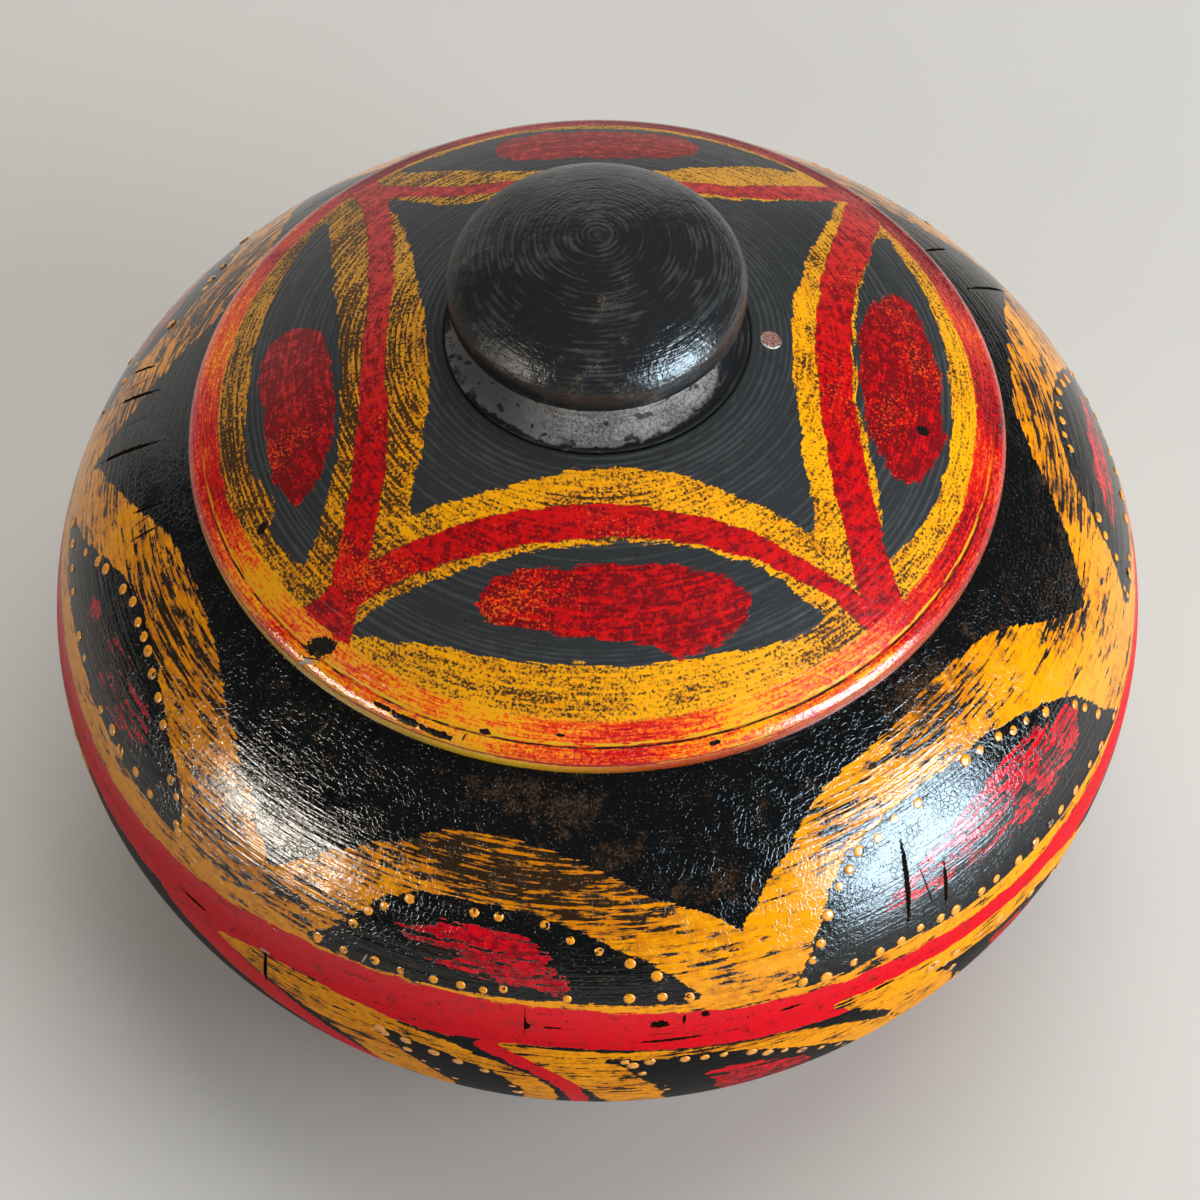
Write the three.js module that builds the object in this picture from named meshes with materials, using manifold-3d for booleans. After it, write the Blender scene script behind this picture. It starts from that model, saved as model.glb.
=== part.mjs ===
// A lidded wooden pot, turned on a lathe and lacquered: a squat round body, a shallow domed lid that
// lifts off, a mushroom knob whose tenon goes through the lid, and one small peg let into the lid.
// Millimetres, +Z up. The origin is the middle of the foot's underside.
import * as THREE from 'three';
import { mergeVertices } from 'three/addons/utils/BufferGeometryUtils.js';
import Module from 'manifold-3d';

// Body: the belly below the widest ring and the shoulder above it are two rounded curves
const widestRadius = 150;
const widestHeight = 105;
const bellyDrop = 131.5;
const bellyPower = 1.76;
const shoulderRise = 87.5;
const shoulderPower = 2.25;
const footHeight = 5;
const footStep = 5;
const footEdge = 1.5;
const wallThickness = 12;
const floorThickness = 14;

// Mouth: a flat seat cut into the shoulder, inside the lid's edge
const seatInset = 4;
const seatWidth = 13.5;
const mouthEdge = 1.5;

// Lid: a shallow dome with a round bead at its edge and a spigot that drops into the mouth
const lidRadius = 106.2;
const beadRadius = 4.9;
const beadCover = 1.5;
const domeRise = 36.6;
const lidThickness = 11;
const spigotDepth = 12;
const spigotWall = 7;
const spigotClearance = 1;
const seatGap = 0.3;

// Knob: a wide foot on the lid, a hollowed neck and a mushroom cap, with a tenon below
const knobFootRadius = 38.2;
const knobFootEdge = 0.6;
const neckRadius = 30;
const neckHeight = 16.1;
const capRadius = 37;
const capLip = 7.6;
const capRise = 16.8;
const capPower = 1.75;
const tenonRadius = 13;
const tenonEnd = 2;
const landMargin = 0.5;
const landDepth = 1;
const jointGap = 0.3;

// Peg: a small plug let into the lid beside the knob, square to the dome
const pegRadius = 2.8;
const pegLength = 5;
const pegStand = 0.3;
const pegOut = 4.8;
const pegTurn = -2;

// Facets: steps round the axis and along each curve of a profile
const bodyTurns = 56;
const lidTurns = 56;
const knobTurns = 40;
const pegTurns = 16;
const curveSteps = 9;
const beadSteps = 6;
const edgeSteps = 2;
const weldDistance = 1e-4;

const wasm = await Module();
wasm.setup();

const point = (radius, height) => new THREE.Vector2(radius, height);
const radians = THREE.MathUtils.degToRad;

// How far out a rounded curve lies at a height above or below its widest place
function curveRadius(reach, rise, power, height) {
  return reach * Math.pow(1 - Math.pow(height / rise, power), 1 / power);
}

// How far up or down a rounded curve lies at a radius
function curveHeight(reach, rise, power, radius) {
  return rise * Math.pow(1 - Math.pow(radius / reach, power), 1 / power);
}

// Points along a rounded curve from its widest place to a given radius, evenly turned
function curvePoints(reach, rise, power, endRadius, steps) {
  const endTurn = Math.acos(Math.pow(endRadius / reach, power / 2));
  const points = [];
  for (let i = 0; i <= steps; i += 1) {
    const turn = (endTurn * i) / steps;
    const radius = reach * Math.pow(Math.cos(turn), 2 / power);
    points.push(point(radius, rise * Math.pow(Math.sin(turn), 2 / power)));
  }
  return points;
}

// Points along an arc of a circle, from one turn to another in degrees
function arcPoints(centreRadius, centreHeight, radius, from, to, steps) {
  const points = [];
  for (let i = 0; i <= steps; i += 1) {
    const turn = radians(from + ((to - from) * i) / steps);
    points.push(point(centreRadius + radius * Math.cos(turn), centreHeight + radius * Math.sin(turn)));
  }
  return points;
}

// A profile spun round the upright axis
function turned(profile, turns) {
  const lathe = new THREE.LatheGeometry(profile, turns);
  lathe.rotateX(Math.PI / 2);
  lathe.deleteAttribute('normal');
  lathe.deleteAttribute('uv');
  return mergeVertices(lathe, weldDistance);
}

function toSolid(geometry) {
  const vertProperties = new Float32Array(geometry.attributes.position.array);
  const triVerts = new Uint32Array(geometry.index.array);
  return new wasm.Manifold(new wasm.Mesh({ numProp: 3, vertProperties, triVerts }));
}

function toGeometry(solid) {
  const mesh = solid.getMesh();
  const geometry = new THREE.BufferGeometry();
  geometry.setAttribute('position', new THREE.BufferAttribute(mesh.vertProperties, mesh.numProp));
  geometry.setIndex(new THREE.BufferAttribute(mesh.triVerts, 1));
  return geometry;
}

// Places that the pieces share
const bellyReachAtFoot = curveRadius(widestRadius, bellyDrop, bellyPower, widestHeight - footHeight);
const footRadius = bellyReachAtFoot - footStep;
const seatOuterRadius = lidRadius - seatInset;
const mouthRadius = seatOuterRadius - seatWidth;
const seatHeight = widestHeight + curveHeight(widestRadius, shoulderRise, shoulderPower, seatOuterRadius);
const lidBase = seatHeight + seatGap;
const beadHeight = lidBase + beadRadius;
const domeEdgeRadius = lidRadius - beadRadius + beadCover;
const domeEdgeHeight = beadHeight + Math.sqrt(beadRadius ** 2 - beadCover ** 2);
const domeRadius = (domeEdgeRadius ** 2 + domeRise ** 2) / (2 * domeRise);
const domeCentre = domeEdgeHeight + domeRise - domeRadius;
const domeHeight = (radius) => domeCentre + Math.sqrt(domeRadius ** 2 - radius ** 2);
const hollowDomeRadius = domeRadius - lidThickness;
const hollowHeight = (radius) => domeCentre + Math.sqrt(hollowDomeRadius ** 2 - radius ** 2);
const landRadius = knobFootRadius + landMargin;
const landHeight = domeHeight(landRadius) - landDepth;
const socketRadius = tenonRadius + jointGap;
const knobBase = landHeight + jointGap;
const pegReach = landRadius + pegOut;

function potBody() {
  const cavityReach = widestRadius - wallThickness;
  const cavityRise = shoulderRise - wallThickness;
  const cavityDrop = bellyDrop - wallThickness;
  const floorRadius = curveRadius(cavityReach, cavityDrop, bellyPower, widestHeight - floorThickness);
  const footTurn = arcPoints(footRadius - footEdge, footEdge, footEdge, -90, 0, edgeSteps);
  const belly = curvePoints(widestRadius, bellyDrop, bellyPower, bellyReachAtFoot, curveSteps);
  const shoulder = curvePoints(widestRadius, shoulderRise, shoulderPower, seatOuterRadius, curveSteps);
  const lip = arcPoints(mouthRadius + mouthEdge, seatHeight - mouthEdge, mouthEdge, 90, 180, edgeSteps);
  const roof = curvePoints(cavityReach, cavityRise, shoulderPower, mouthRadius, curveSteps);
  const bowl = curvePoints(cavityReach, cavityDrop, bellyPower, floorRadius, curveSteps);
  const below = (p) => point(p.x, widestHeight - p.y);
  const above = (p) => point(p.x, widestHeight + p.y);
  const profile = [
    point(0, 0),
    ...footTurn,
    point(footRadius, footHeight),
    ...belly.map(below).reverse(),
    ...shoulder.slice(1).map(above),
    ...lip,
    ...roof.map(above).reverse(),
    ...bowl.slice(1).map(below),
    point(0, floorThickness),
  ];
  return turned(profile, bodyTurns);
}

// The turn and lean that set a shape on the dome at the peg's place, along the dome's own normal
function pegFrame() {
  const lean = new THREE.Matrix4().makeRotationY(Math.asin(pegReach / domeRadius));
  const turn = new THREE.Matrix4().makeRotationZ(radians(pegTurn));
  const centre = new THREE.Matrix4().makeTranslation(0, 0, domeCentre);
  return centre.multiply(turn).multiply(lean);
}

// A round plug from the dome's surface down to a depth, still on the upright axis
function plug(radius, top, bottom) {
  const cylinder = new THREE.CylinderGeometry(radius, radius, top - bottom, pegTurns);
  cylinder.rotateX(Math.PI / 2);
  cylinder.translate(0, 0, domeRadius + (top + bottom) / 2);
  cylinder.deleteAttribute('normal');
  cylinder.deleteAttribute('uv');
  return mergeVertices(cylinder, weldDistance);
}

function lid() {
  const spigotRadius = mouthRadius - spigotClearance;
  const spigotInside = spigotRadius - spigotWall;
  // The dome covers the bead's top from its middle out to where they meet
  const beadStart = THREE.MathUtils.radToDeg(Math.acos(beadCover / beadRadius));
  const bead = arcPoints(lidRadius - beadRadius, beadHeight, beadRadius, -90, beadStart, beadSteps);
  const spigotTurn = arcPoints(
    spigotRadius - mouthEdge, lidBase - spigotDepth + mouthEdge, mouthEdge, -90, 0, edgeSteps);
  const dome = [];
  const hollow = [];
  for (let i = 1; i <= curveSteps; i += 1) {
    const radius = domeEdgeRadius + ((landRadius - domeEdgeRadius) * i) / curveSteps;
    dome.push(point(radius, domeHeight(radius)));
  }
  for (let i = 0; i <= curveSteps; i += 1) {
    const radius = socketRadius + ((spigotInside - socketRadius) * i) / curveSteps;
    hollow.push(point(radius, hollowHeight(radius)));
  }
  const profile = [
    ...hollow,
    point(spigotInside, lidBase - spigotDepth),
    ...spigotTurn,
    point(spigotRadius, lidBase),
    ...bead,
    ...dome,
    point(landRadius, landHeight),
    point(socketRadius, landHeight),
    hollow[0].clone(),
  ];
  const hole = plug(pegRadius + jointGap, lidThickness, -pegLength - jointGap);
  hole.applyMatrix4(pegFrame());
  return toGeometry(toSolid(turned(profile, lidTurns)).subtract(toSolid(hole)));
}

function knob() {
  const footTop = knobBase + 2 * knobFootEdge;
  const capEdge = knobBase + knobFootEdge + neckHeight + capLip / 2;
  const tenonBottom = hollowHeight(socketRadius) - tenonEnd;
  const footTurn = arcPoints(
    knobFootRadius - knobFootEdge, knobBase + knobFootEdge, knobFootEdge, -90, 90, beadSteps);
  // The neck is a quarter hollow from the foot's top in to the neck, then a quarter out under the cap
  const neckMiddle = (footTop + capEdge) / 2;
  const neckHalf = capEdge - capLip - neckMiddle;
  const neck = [];
  for (let i = 1; i < curveSteps; i += 1) {
    const turn = radians(180 * (i / curveSteps) - 90);
    const bottom = turn < 0;
    const outer = bottom ? knobFootRadius - knobFootEdge : capRadius - capLip / 2;
    const half = bottom ? neckMiddle - footTop : neckHalf;
    neck.push(point(outer - (outer - neckRadius) * Math.cos(turn), neckMiddle + half * Math.sin(turn)));
  }
  const lip = arcPoints(capRadius - capLip / 2, capEdge - capLip / 2, capLip / 2, -90, 0, edgeSteps);
  const cap = curvePoints(capRadius, capRise, capPower, 0, curveSteps);
  const profile = [
    point(0, tenonBottom),
    point(tenonRadius, tenonBottom),
    point(tenonRadius, knobBase),
    ...footTurn,
    ...neck,
    ...lip,
    ...cap.map((p) => point(p.x, capEdge + p.y)),
  ];
  return turned(profile, knobTurns);
}

function lidPeg() {
  return plug(pegRadius, pegStand, -pegLength);
}

function piece(name, geometry, color, roughness) {
  const material = new THREE.MeshStandardMaterial({ color, roughness, metalness: 0 });
  const mesh = new THREE.Mesh(geometry, material);
  mesh.name = name;
  return mesh;
}

const peg = piece('lid_peg', lidPeg(), 0x6b3a22, 0.6);
peg.applyMatrix4(pegFrame());

const pot = new THREE.Group();
pot.add(piece('pot_body', potBody(), 0x1a1613, 0.3));
pot.add(piece('lid', lid(), 0xb8321c, 0.35));
pot.add(piece('knob', knob(), 0x141312, 0.25));
pot.add(peg);

export default pot;
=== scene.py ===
# A lidded wooden pot: turned on a lathe, lacquered black and painted by hand in yellow and red.
# Lengths in this script are millimetres and turns are degrees, until MM makes them Blender's metres.
import math

import bmesh
import bpy
import numpy as np
from mathutils import Matrix, Vector


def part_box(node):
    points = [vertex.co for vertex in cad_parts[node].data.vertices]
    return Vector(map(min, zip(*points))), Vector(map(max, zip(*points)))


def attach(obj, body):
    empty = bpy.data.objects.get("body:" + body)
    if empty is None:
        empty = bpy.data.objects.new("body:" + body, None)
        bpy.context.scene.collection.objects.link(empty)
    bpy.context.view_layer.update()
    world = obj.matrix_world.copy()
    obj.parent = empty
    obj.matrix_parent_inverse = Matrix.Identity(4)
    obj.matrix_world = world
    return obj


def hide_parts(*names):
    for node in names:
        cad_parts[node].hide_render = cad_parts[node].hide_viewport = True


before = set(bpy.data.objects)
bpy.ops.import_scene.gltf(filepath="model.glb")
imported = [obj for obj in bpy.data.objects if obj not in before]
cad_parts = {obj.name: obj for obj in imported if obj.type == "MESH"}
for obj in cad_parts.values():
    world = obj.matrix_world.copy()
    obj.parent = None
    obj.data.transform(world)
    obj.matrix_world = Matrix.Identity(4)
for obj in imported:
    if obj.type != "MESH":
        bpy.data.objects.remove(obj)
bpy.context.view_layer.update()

MM = 0.001
body_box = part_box("pot_body")
knob_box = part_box("knob")
peg_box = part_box("lid_peg")

# The body's turned curves, as on the model and a little inside its box
BOX_MARGIN = 0.02
WIDEST_RADIUS = min(body_box[1].x, body_box[1].y) / MM - BOX_MARGIN
WIDEST_HEIGHT = 105
BELLY_DROP = 131.5
BELLY_POWER = 1.76
SHOULDER_RISE = 87.5
SHOULDER_POWER = 2.25
FOOT_HEIGHT = 5
FOOT_STEP = 5
FOOT_EDGE = 1.5
WALL = 12
FLOOR = 14
SEAT_HEIGHT = body_box[1].z / MM
SEAT_INSET = 4
SEAT_WIDTH = 13.5
SOFT_EDGE = 1.5

# The lid and its knob, as on the model
LID_RADIUS = 106.2
BEAD = 4.9
BEAD_COVER = 1.5
SEAT_GAP = 0.3
LID_BASE = SEAT_HEIGHT + SEAT_GAP
DOME_RISE = 36.6
LID_WALL = 11
SPIGOT_DEPTH = 12
SPIGOT_WALL = 7
SPIGOT_CLEARANCE = 1
KNOB_FOOT_RADIUS = min(knob_box[1].x, knob_box[1].y) / MM
KNOB_FOOT_EDGE = 0.6
NECK_HEIGHT = 16.1
LAND_MARGIN = 0.5
LAND_DEPTH = 1
NECK_RADIUS = 30
CAP_RADIUS = 37
CAP_LIP = 7.6
CAP_RISE = 16.8
CAP_POWER = 1.75
TENON_RADIUS = 13
JOINT_GAP = 0.3
PEG_RADIUS = 2.8
PEG_LENGTH = 5
PEG_STAND = 0.3
PEG_OUT = 4.8
TENON_END = knob_box[0].z / MM

# How finely each piece is spun
BODY_STEPS = 360
LID_STEPS = 416
KNOB_STEPS = 256
SECTORS = 8
JOIN_DISTANCE = 1e-6
SHOULDER_SPACING = 0.7
BELLY_SPACING = 2
LID_SPACING = 0.45
KNOB_SPACING = 0.4
PLAIN_SPACING = 6
EDGE_SPACING = 0.8
STRAIGHT_SPACING = EDGE_SPACING * 3
BEAD_POINTS = 60
NECK_POINTS = 60
DOUBLED = 1e-4

# The marks of turning: how far apart and how deep they are, how long the grain runs round, and their seed
BODY_TURNING = {"pitch": 1.5, "depth": 0.1, "streak": 16, "seed": 3}
LID_TURNING = {"pitch": 1.6, "depth": 0.12, "streak": 12, "seed": 11}
KNOB_TURNING = {"pitch": 1.5, "depth": 0.1, "streak": 9, "seed": 23}
PEG_STREAK = 6

# The camera stands where the photograph's did
CAMERA_AIM = (0.7, 0, 97.8)
CAMERA_RISE = 55.2
CAMERA_DISTANCE = 848
LENS = 90
SENSOR = 36


def rounded_radius(reach, rise, power, height):
    """How far out a rounded curve lies at a height from its widest place."""
    return reach * (1 - (height / rise) ** power) ** (1 / power)


def rounded(reach, rise, power, end_radius, steps=120):
    """Points along a rounded curve from its widest place to a radius."""
    end = math.acos((end_radius / reach) ** (power / 2))
    turns = np.linspace(0, end, steps)
    return np.stack([reach * np.cos(turns) ** (2 / power), rise * np.sin(turns) ** (2 / power)], 1)


def arc(radius_at, height_at, radius, start, end, steps=24):
    """Points along an arc of a circle in the profile's plane."""
    turns = np.radians(np.linspace(start, end, steps))
    return np.stack([radius_at + radius * np.cos(turns), height_at + radius * np.sin(turns)], 1)


def step_lengths(points):
    """How long each step from point to point of a line is."""
    return np.hypot(*np.diff(points, axis=0).T)


def so_far(steps):
    """How far along a line each of its points lies, from the lengths of its steps."""
    return np.concatenate([[0], np.cumsum(steps)])


def respaced(points, spacing):
    """The same line with its points an even spacing apart."""
    points = np.asarray(points, float)
    length = so_far(step_lengths(points))
    count = max(2, int(round(length[-1] / spacing)) + 1)
    at = np.linspace(0, length[-1], count)
    return np.stack([np.interp(at, length, points[:, 0]), np.interp(at, length, points[:, 1])], 1)


def joined(*stretches):
    """One profile from stretches of (points, spacing), with doubled corners dropped."""
    line = [respaced(points, spacing) for points, spacing in stretches]
    whole = np.concatenate(line)
    keep = np.ones(len(whole), bool)
    keep[1:] = step_lengths(whole) > DOUBLED
    return whole[keep]


def linked(name, data):
    """A new object of the scene that holds a mesh, a light or a lens."""
    thing = bpy.data.objects.new(name, data)
    bpy.context.scene.collection.objects.link(thing)
    return thing


def stood(name, shape):
    """A bmesh made an object of its own, with soft shading."""
    for face in shape.faces:
        face.smooth = True
    mesh = bpy.data.meshes.new(name)
    shape.to_mesh(mesh)
    shape.free()
    return linked(name, mesh)


def spun(name, profile, steps, closed_line=False):
    """A profile in millimetres spun into a whole body, with the length along the profile kept.

    One sector is spun, and the others are copies of it, turned on and joined.
    """
    sector = bmesh.new()
    along = sector.verts.layers.float.new("along")
    lengths = so_far(step_lengths(profile))
    rim = []
    for (radius, height), length in zip(profile, lengths):
        vert = sector.verts.new((radius * MM, 0, height * MM))
        vert[along] = length
        rim.append(vert)
    line = [sector.edges.new(pair) for pair in zip(rim, rim[1:])]
    if closed_line:
        line.append(sector.edges.new((rim[-1], rim[0])))
    bmesh.ops.spin(sector, geom=rim + line, cent=(0, 0, 0), axis=(0, 0, 1), angle=math.tau / SECTORS,
                   steps=steps // SECTORS, use_duplicate=False)
    copy = bpy.data.meshes.new("sector")
    sector.to_mesh(copy)
    sector.free()
    shape = bmesh.new()
    for _ in range(SECTORS):
        shape.from_mesh(copy)
        copy.transform(Matrix.Rotation(math.tau / SECTORS, 4, "Z"))
    bpy.data.meshes.remove(copy)
    bmesh.ops.remove_doubles(shape, verts=shape.verts, dist=JOIN_DISTANCE)
    bmesh.ops.recalc_face_normals(shape, faces=shape.faces)
    return stood(name, shape)


class Skin:
    """The vertices of a spun piece as numbers: place, turn, radius and length along the profile."""

    def __init__(self, piece):
        self.mesh = piece.data
        count = len(self.mesh.vertices)
        place = np.zeros(count * 3)
        self.mesh.vertices.foreach_get("co", place)
        self.place = place.reshape(-1, 3) / MM
        normal = np.zeros(count * 3)
        self.mesh.vertex_normals.foreach_get("vector", normal)
        self.normal = normal.reshape(-1, 3)
        self.along = np.zeros(count)
        self.mesh.attributes["along"].data.foreach_get("value", self.along)
        self.radius = np.hypot(self.place[:, 0], self.place[:, 1])
        self.turn = np.degrees(np.arctan2(self.place[:, 1], self.place[:, 0]))
        self.height = self.place[:, 2]

    def carve(self, depth):
        """Lowers the surface by a depth in millimetres at each vertex."""
        moved = (self.place - self.normal * depth[:, None]) * MM
        self.mesh.vertices.foreach_set("co", moved.ravel())
        self.mesh.update()

    def keep(self, name, values):
        """Stores one number or one vector for each vertex, for the finish to read."""
        values = np.asarray(values, float)
        kind, part = ("FLOAT", "value") if values.ndim == 1 else ("FLOAT_VECTOR", "vector")
        layer = self.mesh.attributes.new(name, kind, "POINT")
        layer.data.foreach_set(part, values.ravel())

    def keep_lathe(self, streak):
        """Stores a place that changes slowly round the piece, so that grain lies along the turning."""
        turn = np.radians(self.turn)
        slow = np.stack([self.radius * np.cos(turn) / streak, self.radius * np.sin(turn) / streak,
                         self.along], 1)
        self.keep("lathe", slow)


def wrapped(turn):
    """A difference of turns brought between -180 and 180 degrees."""
    return (np.asarray(turn) + 180) % 360 - 180


def softly(points, closed=False, steps=6):
    """A smooth line through given points."""
    points = np.asarray(points, float)
    count = len(points)
    spans = count if closed else count - 1
    line = []
    for i in range(spans):
        if closed:
            before, start, end, after = (points[(i + k) % count] for k in (-1, 0, 1, 2))
        else:
            before, start = points[max(i - 1, 0)], points[i]
            end, after = points[i + 1], points[min(i + 2, count - 1)]
        for t in np.arange(steps) / steps:
            line.append(0.5 * (2 * start + (end - before) * t
                               + (2 * before - 5 * start + 4 * end - after) * t ** 2
                               + (3 * start - before - 3 * end + after) * t ** 3))
    if not closed:
        line.append(points[-1])
    return np.array(line)


def edge_distance(x, y, line, closed):
    """Distance in millimetres from each vertex to a line, both in the same flat frame; inside is negative."""
    best = np.full(len(x), HUGE)
    inside = np.zeros(len(x), bool)
    ends = np.roll(line, -1, axis=0) if closed else line[1:]
    starts = line if closed else line[:-1]
    for (ax, ay), (bx, by) in zip(starts, ends):
        dx, dy = bx - ax, by - ay
        span = dx * dx + dy * dy + TINY
        t = np.clip(((x - ax) * dx + (y - ay) * dy) / span, 0, 1)
        best = np.minimum(best, (x - ax - t * dx) ** 2 + (y - ay - t * dy) ** 2)
        if closed and ay != by:
            crosses = ((ay > y) != (by > y)) & (x < (bx - ax) * (y - ay) / (by - ay) + ax)
            inside ^= crosses
    best = np.sqrt(best)
    return np.where(inside, -best, best)


def shape_field(x, y, line, closed=True, margin=12):
    """Distance to a shape for the vertices near it, and FAR for the others."""
    field = np.full(len(x), FAR)
    near = (x > line[:, 0].min() - margin) & (x < line[:, 0].max() + margin)
    near &= (y > line[:, 1].min() - margin) & (y < line[:, 1].max() + margin)
    field[near] = edge_distance(x[near], y[near], line, closed)
    return field


def union(*fields):
    """Distance to the nearest of some shapes."""
    return np.minimum.reduce(fields)


def without(field, hole):
    """Distance to a shape with another cut out of it."""
    return np.maximum(field, -hole)


def within(*fields):
    """Distance to where some shapes overlap."""
    return np.maximum.reduce(fields)


def level(turn, points):
    """A height that changes with the turn, smooth through given points."""
    line = softly(points)
    return np.interp(turn, line[:, 0], line[:, 1])


# Turning marks wander by about WANDER millimetres, in slow and fast waves round the piece
WANDER = 0.6
SLOW_WAVES = 2
FAST_WAVES = 5
FAST_SHARE = 0.6
PHASES = (0, 6)
FIRST_KNOT = 10
KNOT_COUNT = 4000
UNEVEN_PITCHES = 4
UNEVEN_SHARE = 1.5
STEADY_SHARE = 0.55
LOOSE_SHARE = 0.45


def ring_noise(skin, pitch, seed):
    """Uneven turning marks: 0 to 1 along the profile, wandering a little round the piece."""
    rng = np.random.default_rng(seed)
    turn = np.radians(skin.turn)
    slow = np.sin(turn * SLOW_WAVES + rng.uniform(*PHASES))
    fast = np.sin(turn * FAST_WAVES + rng.uniform(*PHASES))
    drift = WANDER * (slow + FAST_SHARE * fast)
    at = (skin.along + drift) / pitch + FIRST_KNOT
    knots = rng.uniform(0, 1, KNOT_COUNT)
    low = np.floor(at).astype(int)
    part = at - low
    part = part * part * (3 - 2 * part)
    return knots[low] * (1 - part) + knots[low + 1] * part


# The four sides of the lid's painted square. Across and out are millimetres from the lid's axis, out being
# towards that side's own rim. Each edge line gives how far out the paint's edge lies at each of ACROSS.
ACROSS = (-75, -60, -40, -20, 0, 20, 40, 60, 75)
LID_SIDES = {
    "front": {
        "across": (1, 0), "out": (0, -1), "blob_wear": 0.3,
        "blob_orange": ((-40, 0.5), (-18, 0.2), (-6, -0.2), (40, -0.6)),
        "yellow": (60.4, 54.4, 49.1, 45.4, 42.3, 43.2, 48.6, 55.4, 61.4),
        "red_near": (65.6, 60.1, 55.1, 52.1, 51.2, 52.1, 55.8, 62.7, 68.8),
        "red_far": (76.9, 68.5, 62.8, 60.6, 59, 59.2, 62, 68, 77.9),
        "leaf": ((-61, 73.3), (-50, 68.4), (-36, 65), (-20, 62.5), (0, 60.3), (20, 59.9), (38, 62.8),
                 (50, 67.6), (56, 71.5), (47, 76.9), (34, 81.8), (18, 85.7), (0, 87), (-20, 85.2),
                 (-36, 81.6), (-50, 77)),
        "blob": ((-29, 72.2), (-25, 66.9), (-16, 65.6), (-6, 65.9), (8, 65.5), (22, 64.6), (32, 66.5),
                 (37, 70.3), (35.5, 75.5), (29, 80.6), (20, 84.2), (14, 82.5), (4, 81.4), (-6, 80.7),
                 (-14, 79.3), (-24, 76.9)),
    },
    "right": {
        "across": (0, 1), "out": (1, 0), "blob_wear": 0.5,
        "blob_orange": ((-40, 0.1), (-10, 0.2), (10, 0.4), (40, 0.4)),
        "yellow": (59.2, 54.6, 51.9, 50, 49, 51.6, 57.3, 63.6, 69),
        "red_near": (70.5, 63.2, 58.3, 55.9, 55, 57.1, 61.2, 66, 69.7),
        "red_far": (80.6, 73.9, 68.1, 64.9, 64.4, 66.2, 71.4, 76.1, 79.7),
        "leaf": ((54.5, 77), (46.2, 73), (30.8, 69.5), (15.2, 66.5), (-0.7, 65), (-18.8, 65.8), (-33, 69),
                 (-45.5, 70), (-54.8, 69), (-52, 74), (-41, 82), (-26, 88), (-10, 90.6), (6, 91), (22, 89),
                 (37.7, 85), (49.6, 80)),
        "blob": ((18, 69), (24.7, 74), (27.2, 81), (16, 86), (-2, 88), (-18, 87.6), (-27.8, 83),
                 (-33.2, 77), (-29.2, 71), (-17, 67.4), (-0.8, 66.8), (9, 67.4)),
    },
    "back": {
        "across": (1, 0), "out": (0, 1), "blob_wear": 0.6,
        "blob_orange": ((-40, 0), (-10, 0), (10, 0), (40, 0)),
        "yellow": (75, 64, 50.8, 49.7, 49.8, 50.2, 52.8, 63, 73),
        "red_near": (77, 65, 55, 53.1, 52.7, 52.4, 54, 63, 74),
        "red_far": (87, 72.5, 60.5, 58.4, 58, 57.9, 61, 72.5, 85),
        "leaf": ((-53.6, 79.3), (-46, 73), (-39, 70.5), (-32, 67), (-20, 63.2), (0, 62.4), (16, 63.2),
                 (24, 66.5), (34, 70.6), (46, 76), (54, 79.3), (38, 87.8), (18, 93), (0, 94), (-22, 92.7),
                 (-38, 87)),
        "blob": ((-27, 77.4), (-26.4, 84), (-22, 88.7), (0, 91.2), (20, 89.7), (26, 85), (26, 76.5), (16, 71),
                 (0, 69.6), (-18, 70.4), (-24, 72.7)),
    },
    "left": {
        "across": (0, 1), "out": (-1, 0), "blob_wear": 0.5,
        "blob_orange": ((-40, 0), (-10, -0.1), (10, -0.3), (40, -0.3)),
        "yellow": (53.3, 48.7, 44.4, 42, 43, 46, 50.2, 56.5, 63),
        "red_near": (60.3, 56.6, 52.4, 52, 53.6, 52.4, 53.1, 55.8, 59.6),
        "red_far": (69, 64.6, 60.9, 59.6, 59.2, 58.6, 59.9, 63, 68),
        "leaf": ((59.5, 73), (45.8, 80), (28, 86), (8, 89.5), (-12, 89.5), (-26, 87.5), (-32, 83), (-39, 80),
                 (-44, 82), (-50, 77.5), (-55, 72), (-45.5, 68), (-35, 65.5), (-20.8, 64), (-0.7, 65),
                 (19, 67), (38.6, 69.5)),
        "blob": ((14.4, 82), (13.7, 77), (10, 71.5), (-0.8, 67.4), (-16.8, 65.8), (-29, 67), (-38.4, 71.5),
                 (-37.7, 77), (-27.8, 82), (-13.7, 84), (-1.8, 86.5), (7.2, 86)),
    },
}

# Farther than FAR millimetres off, paint doesn't matter. HUGE is longer than any distance, and TINY keeps a
# line's step from having no length.
FAR = 50.0
HUGE = 1e6
TINY = 1e-12

# How long one degree is round the painted shoulder
SHOULDER_SHARE = 0.96
TURN_LENGTH = math.radians(1) * WIDEST_RADIUS * SHOULDER_SHARE

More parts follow.
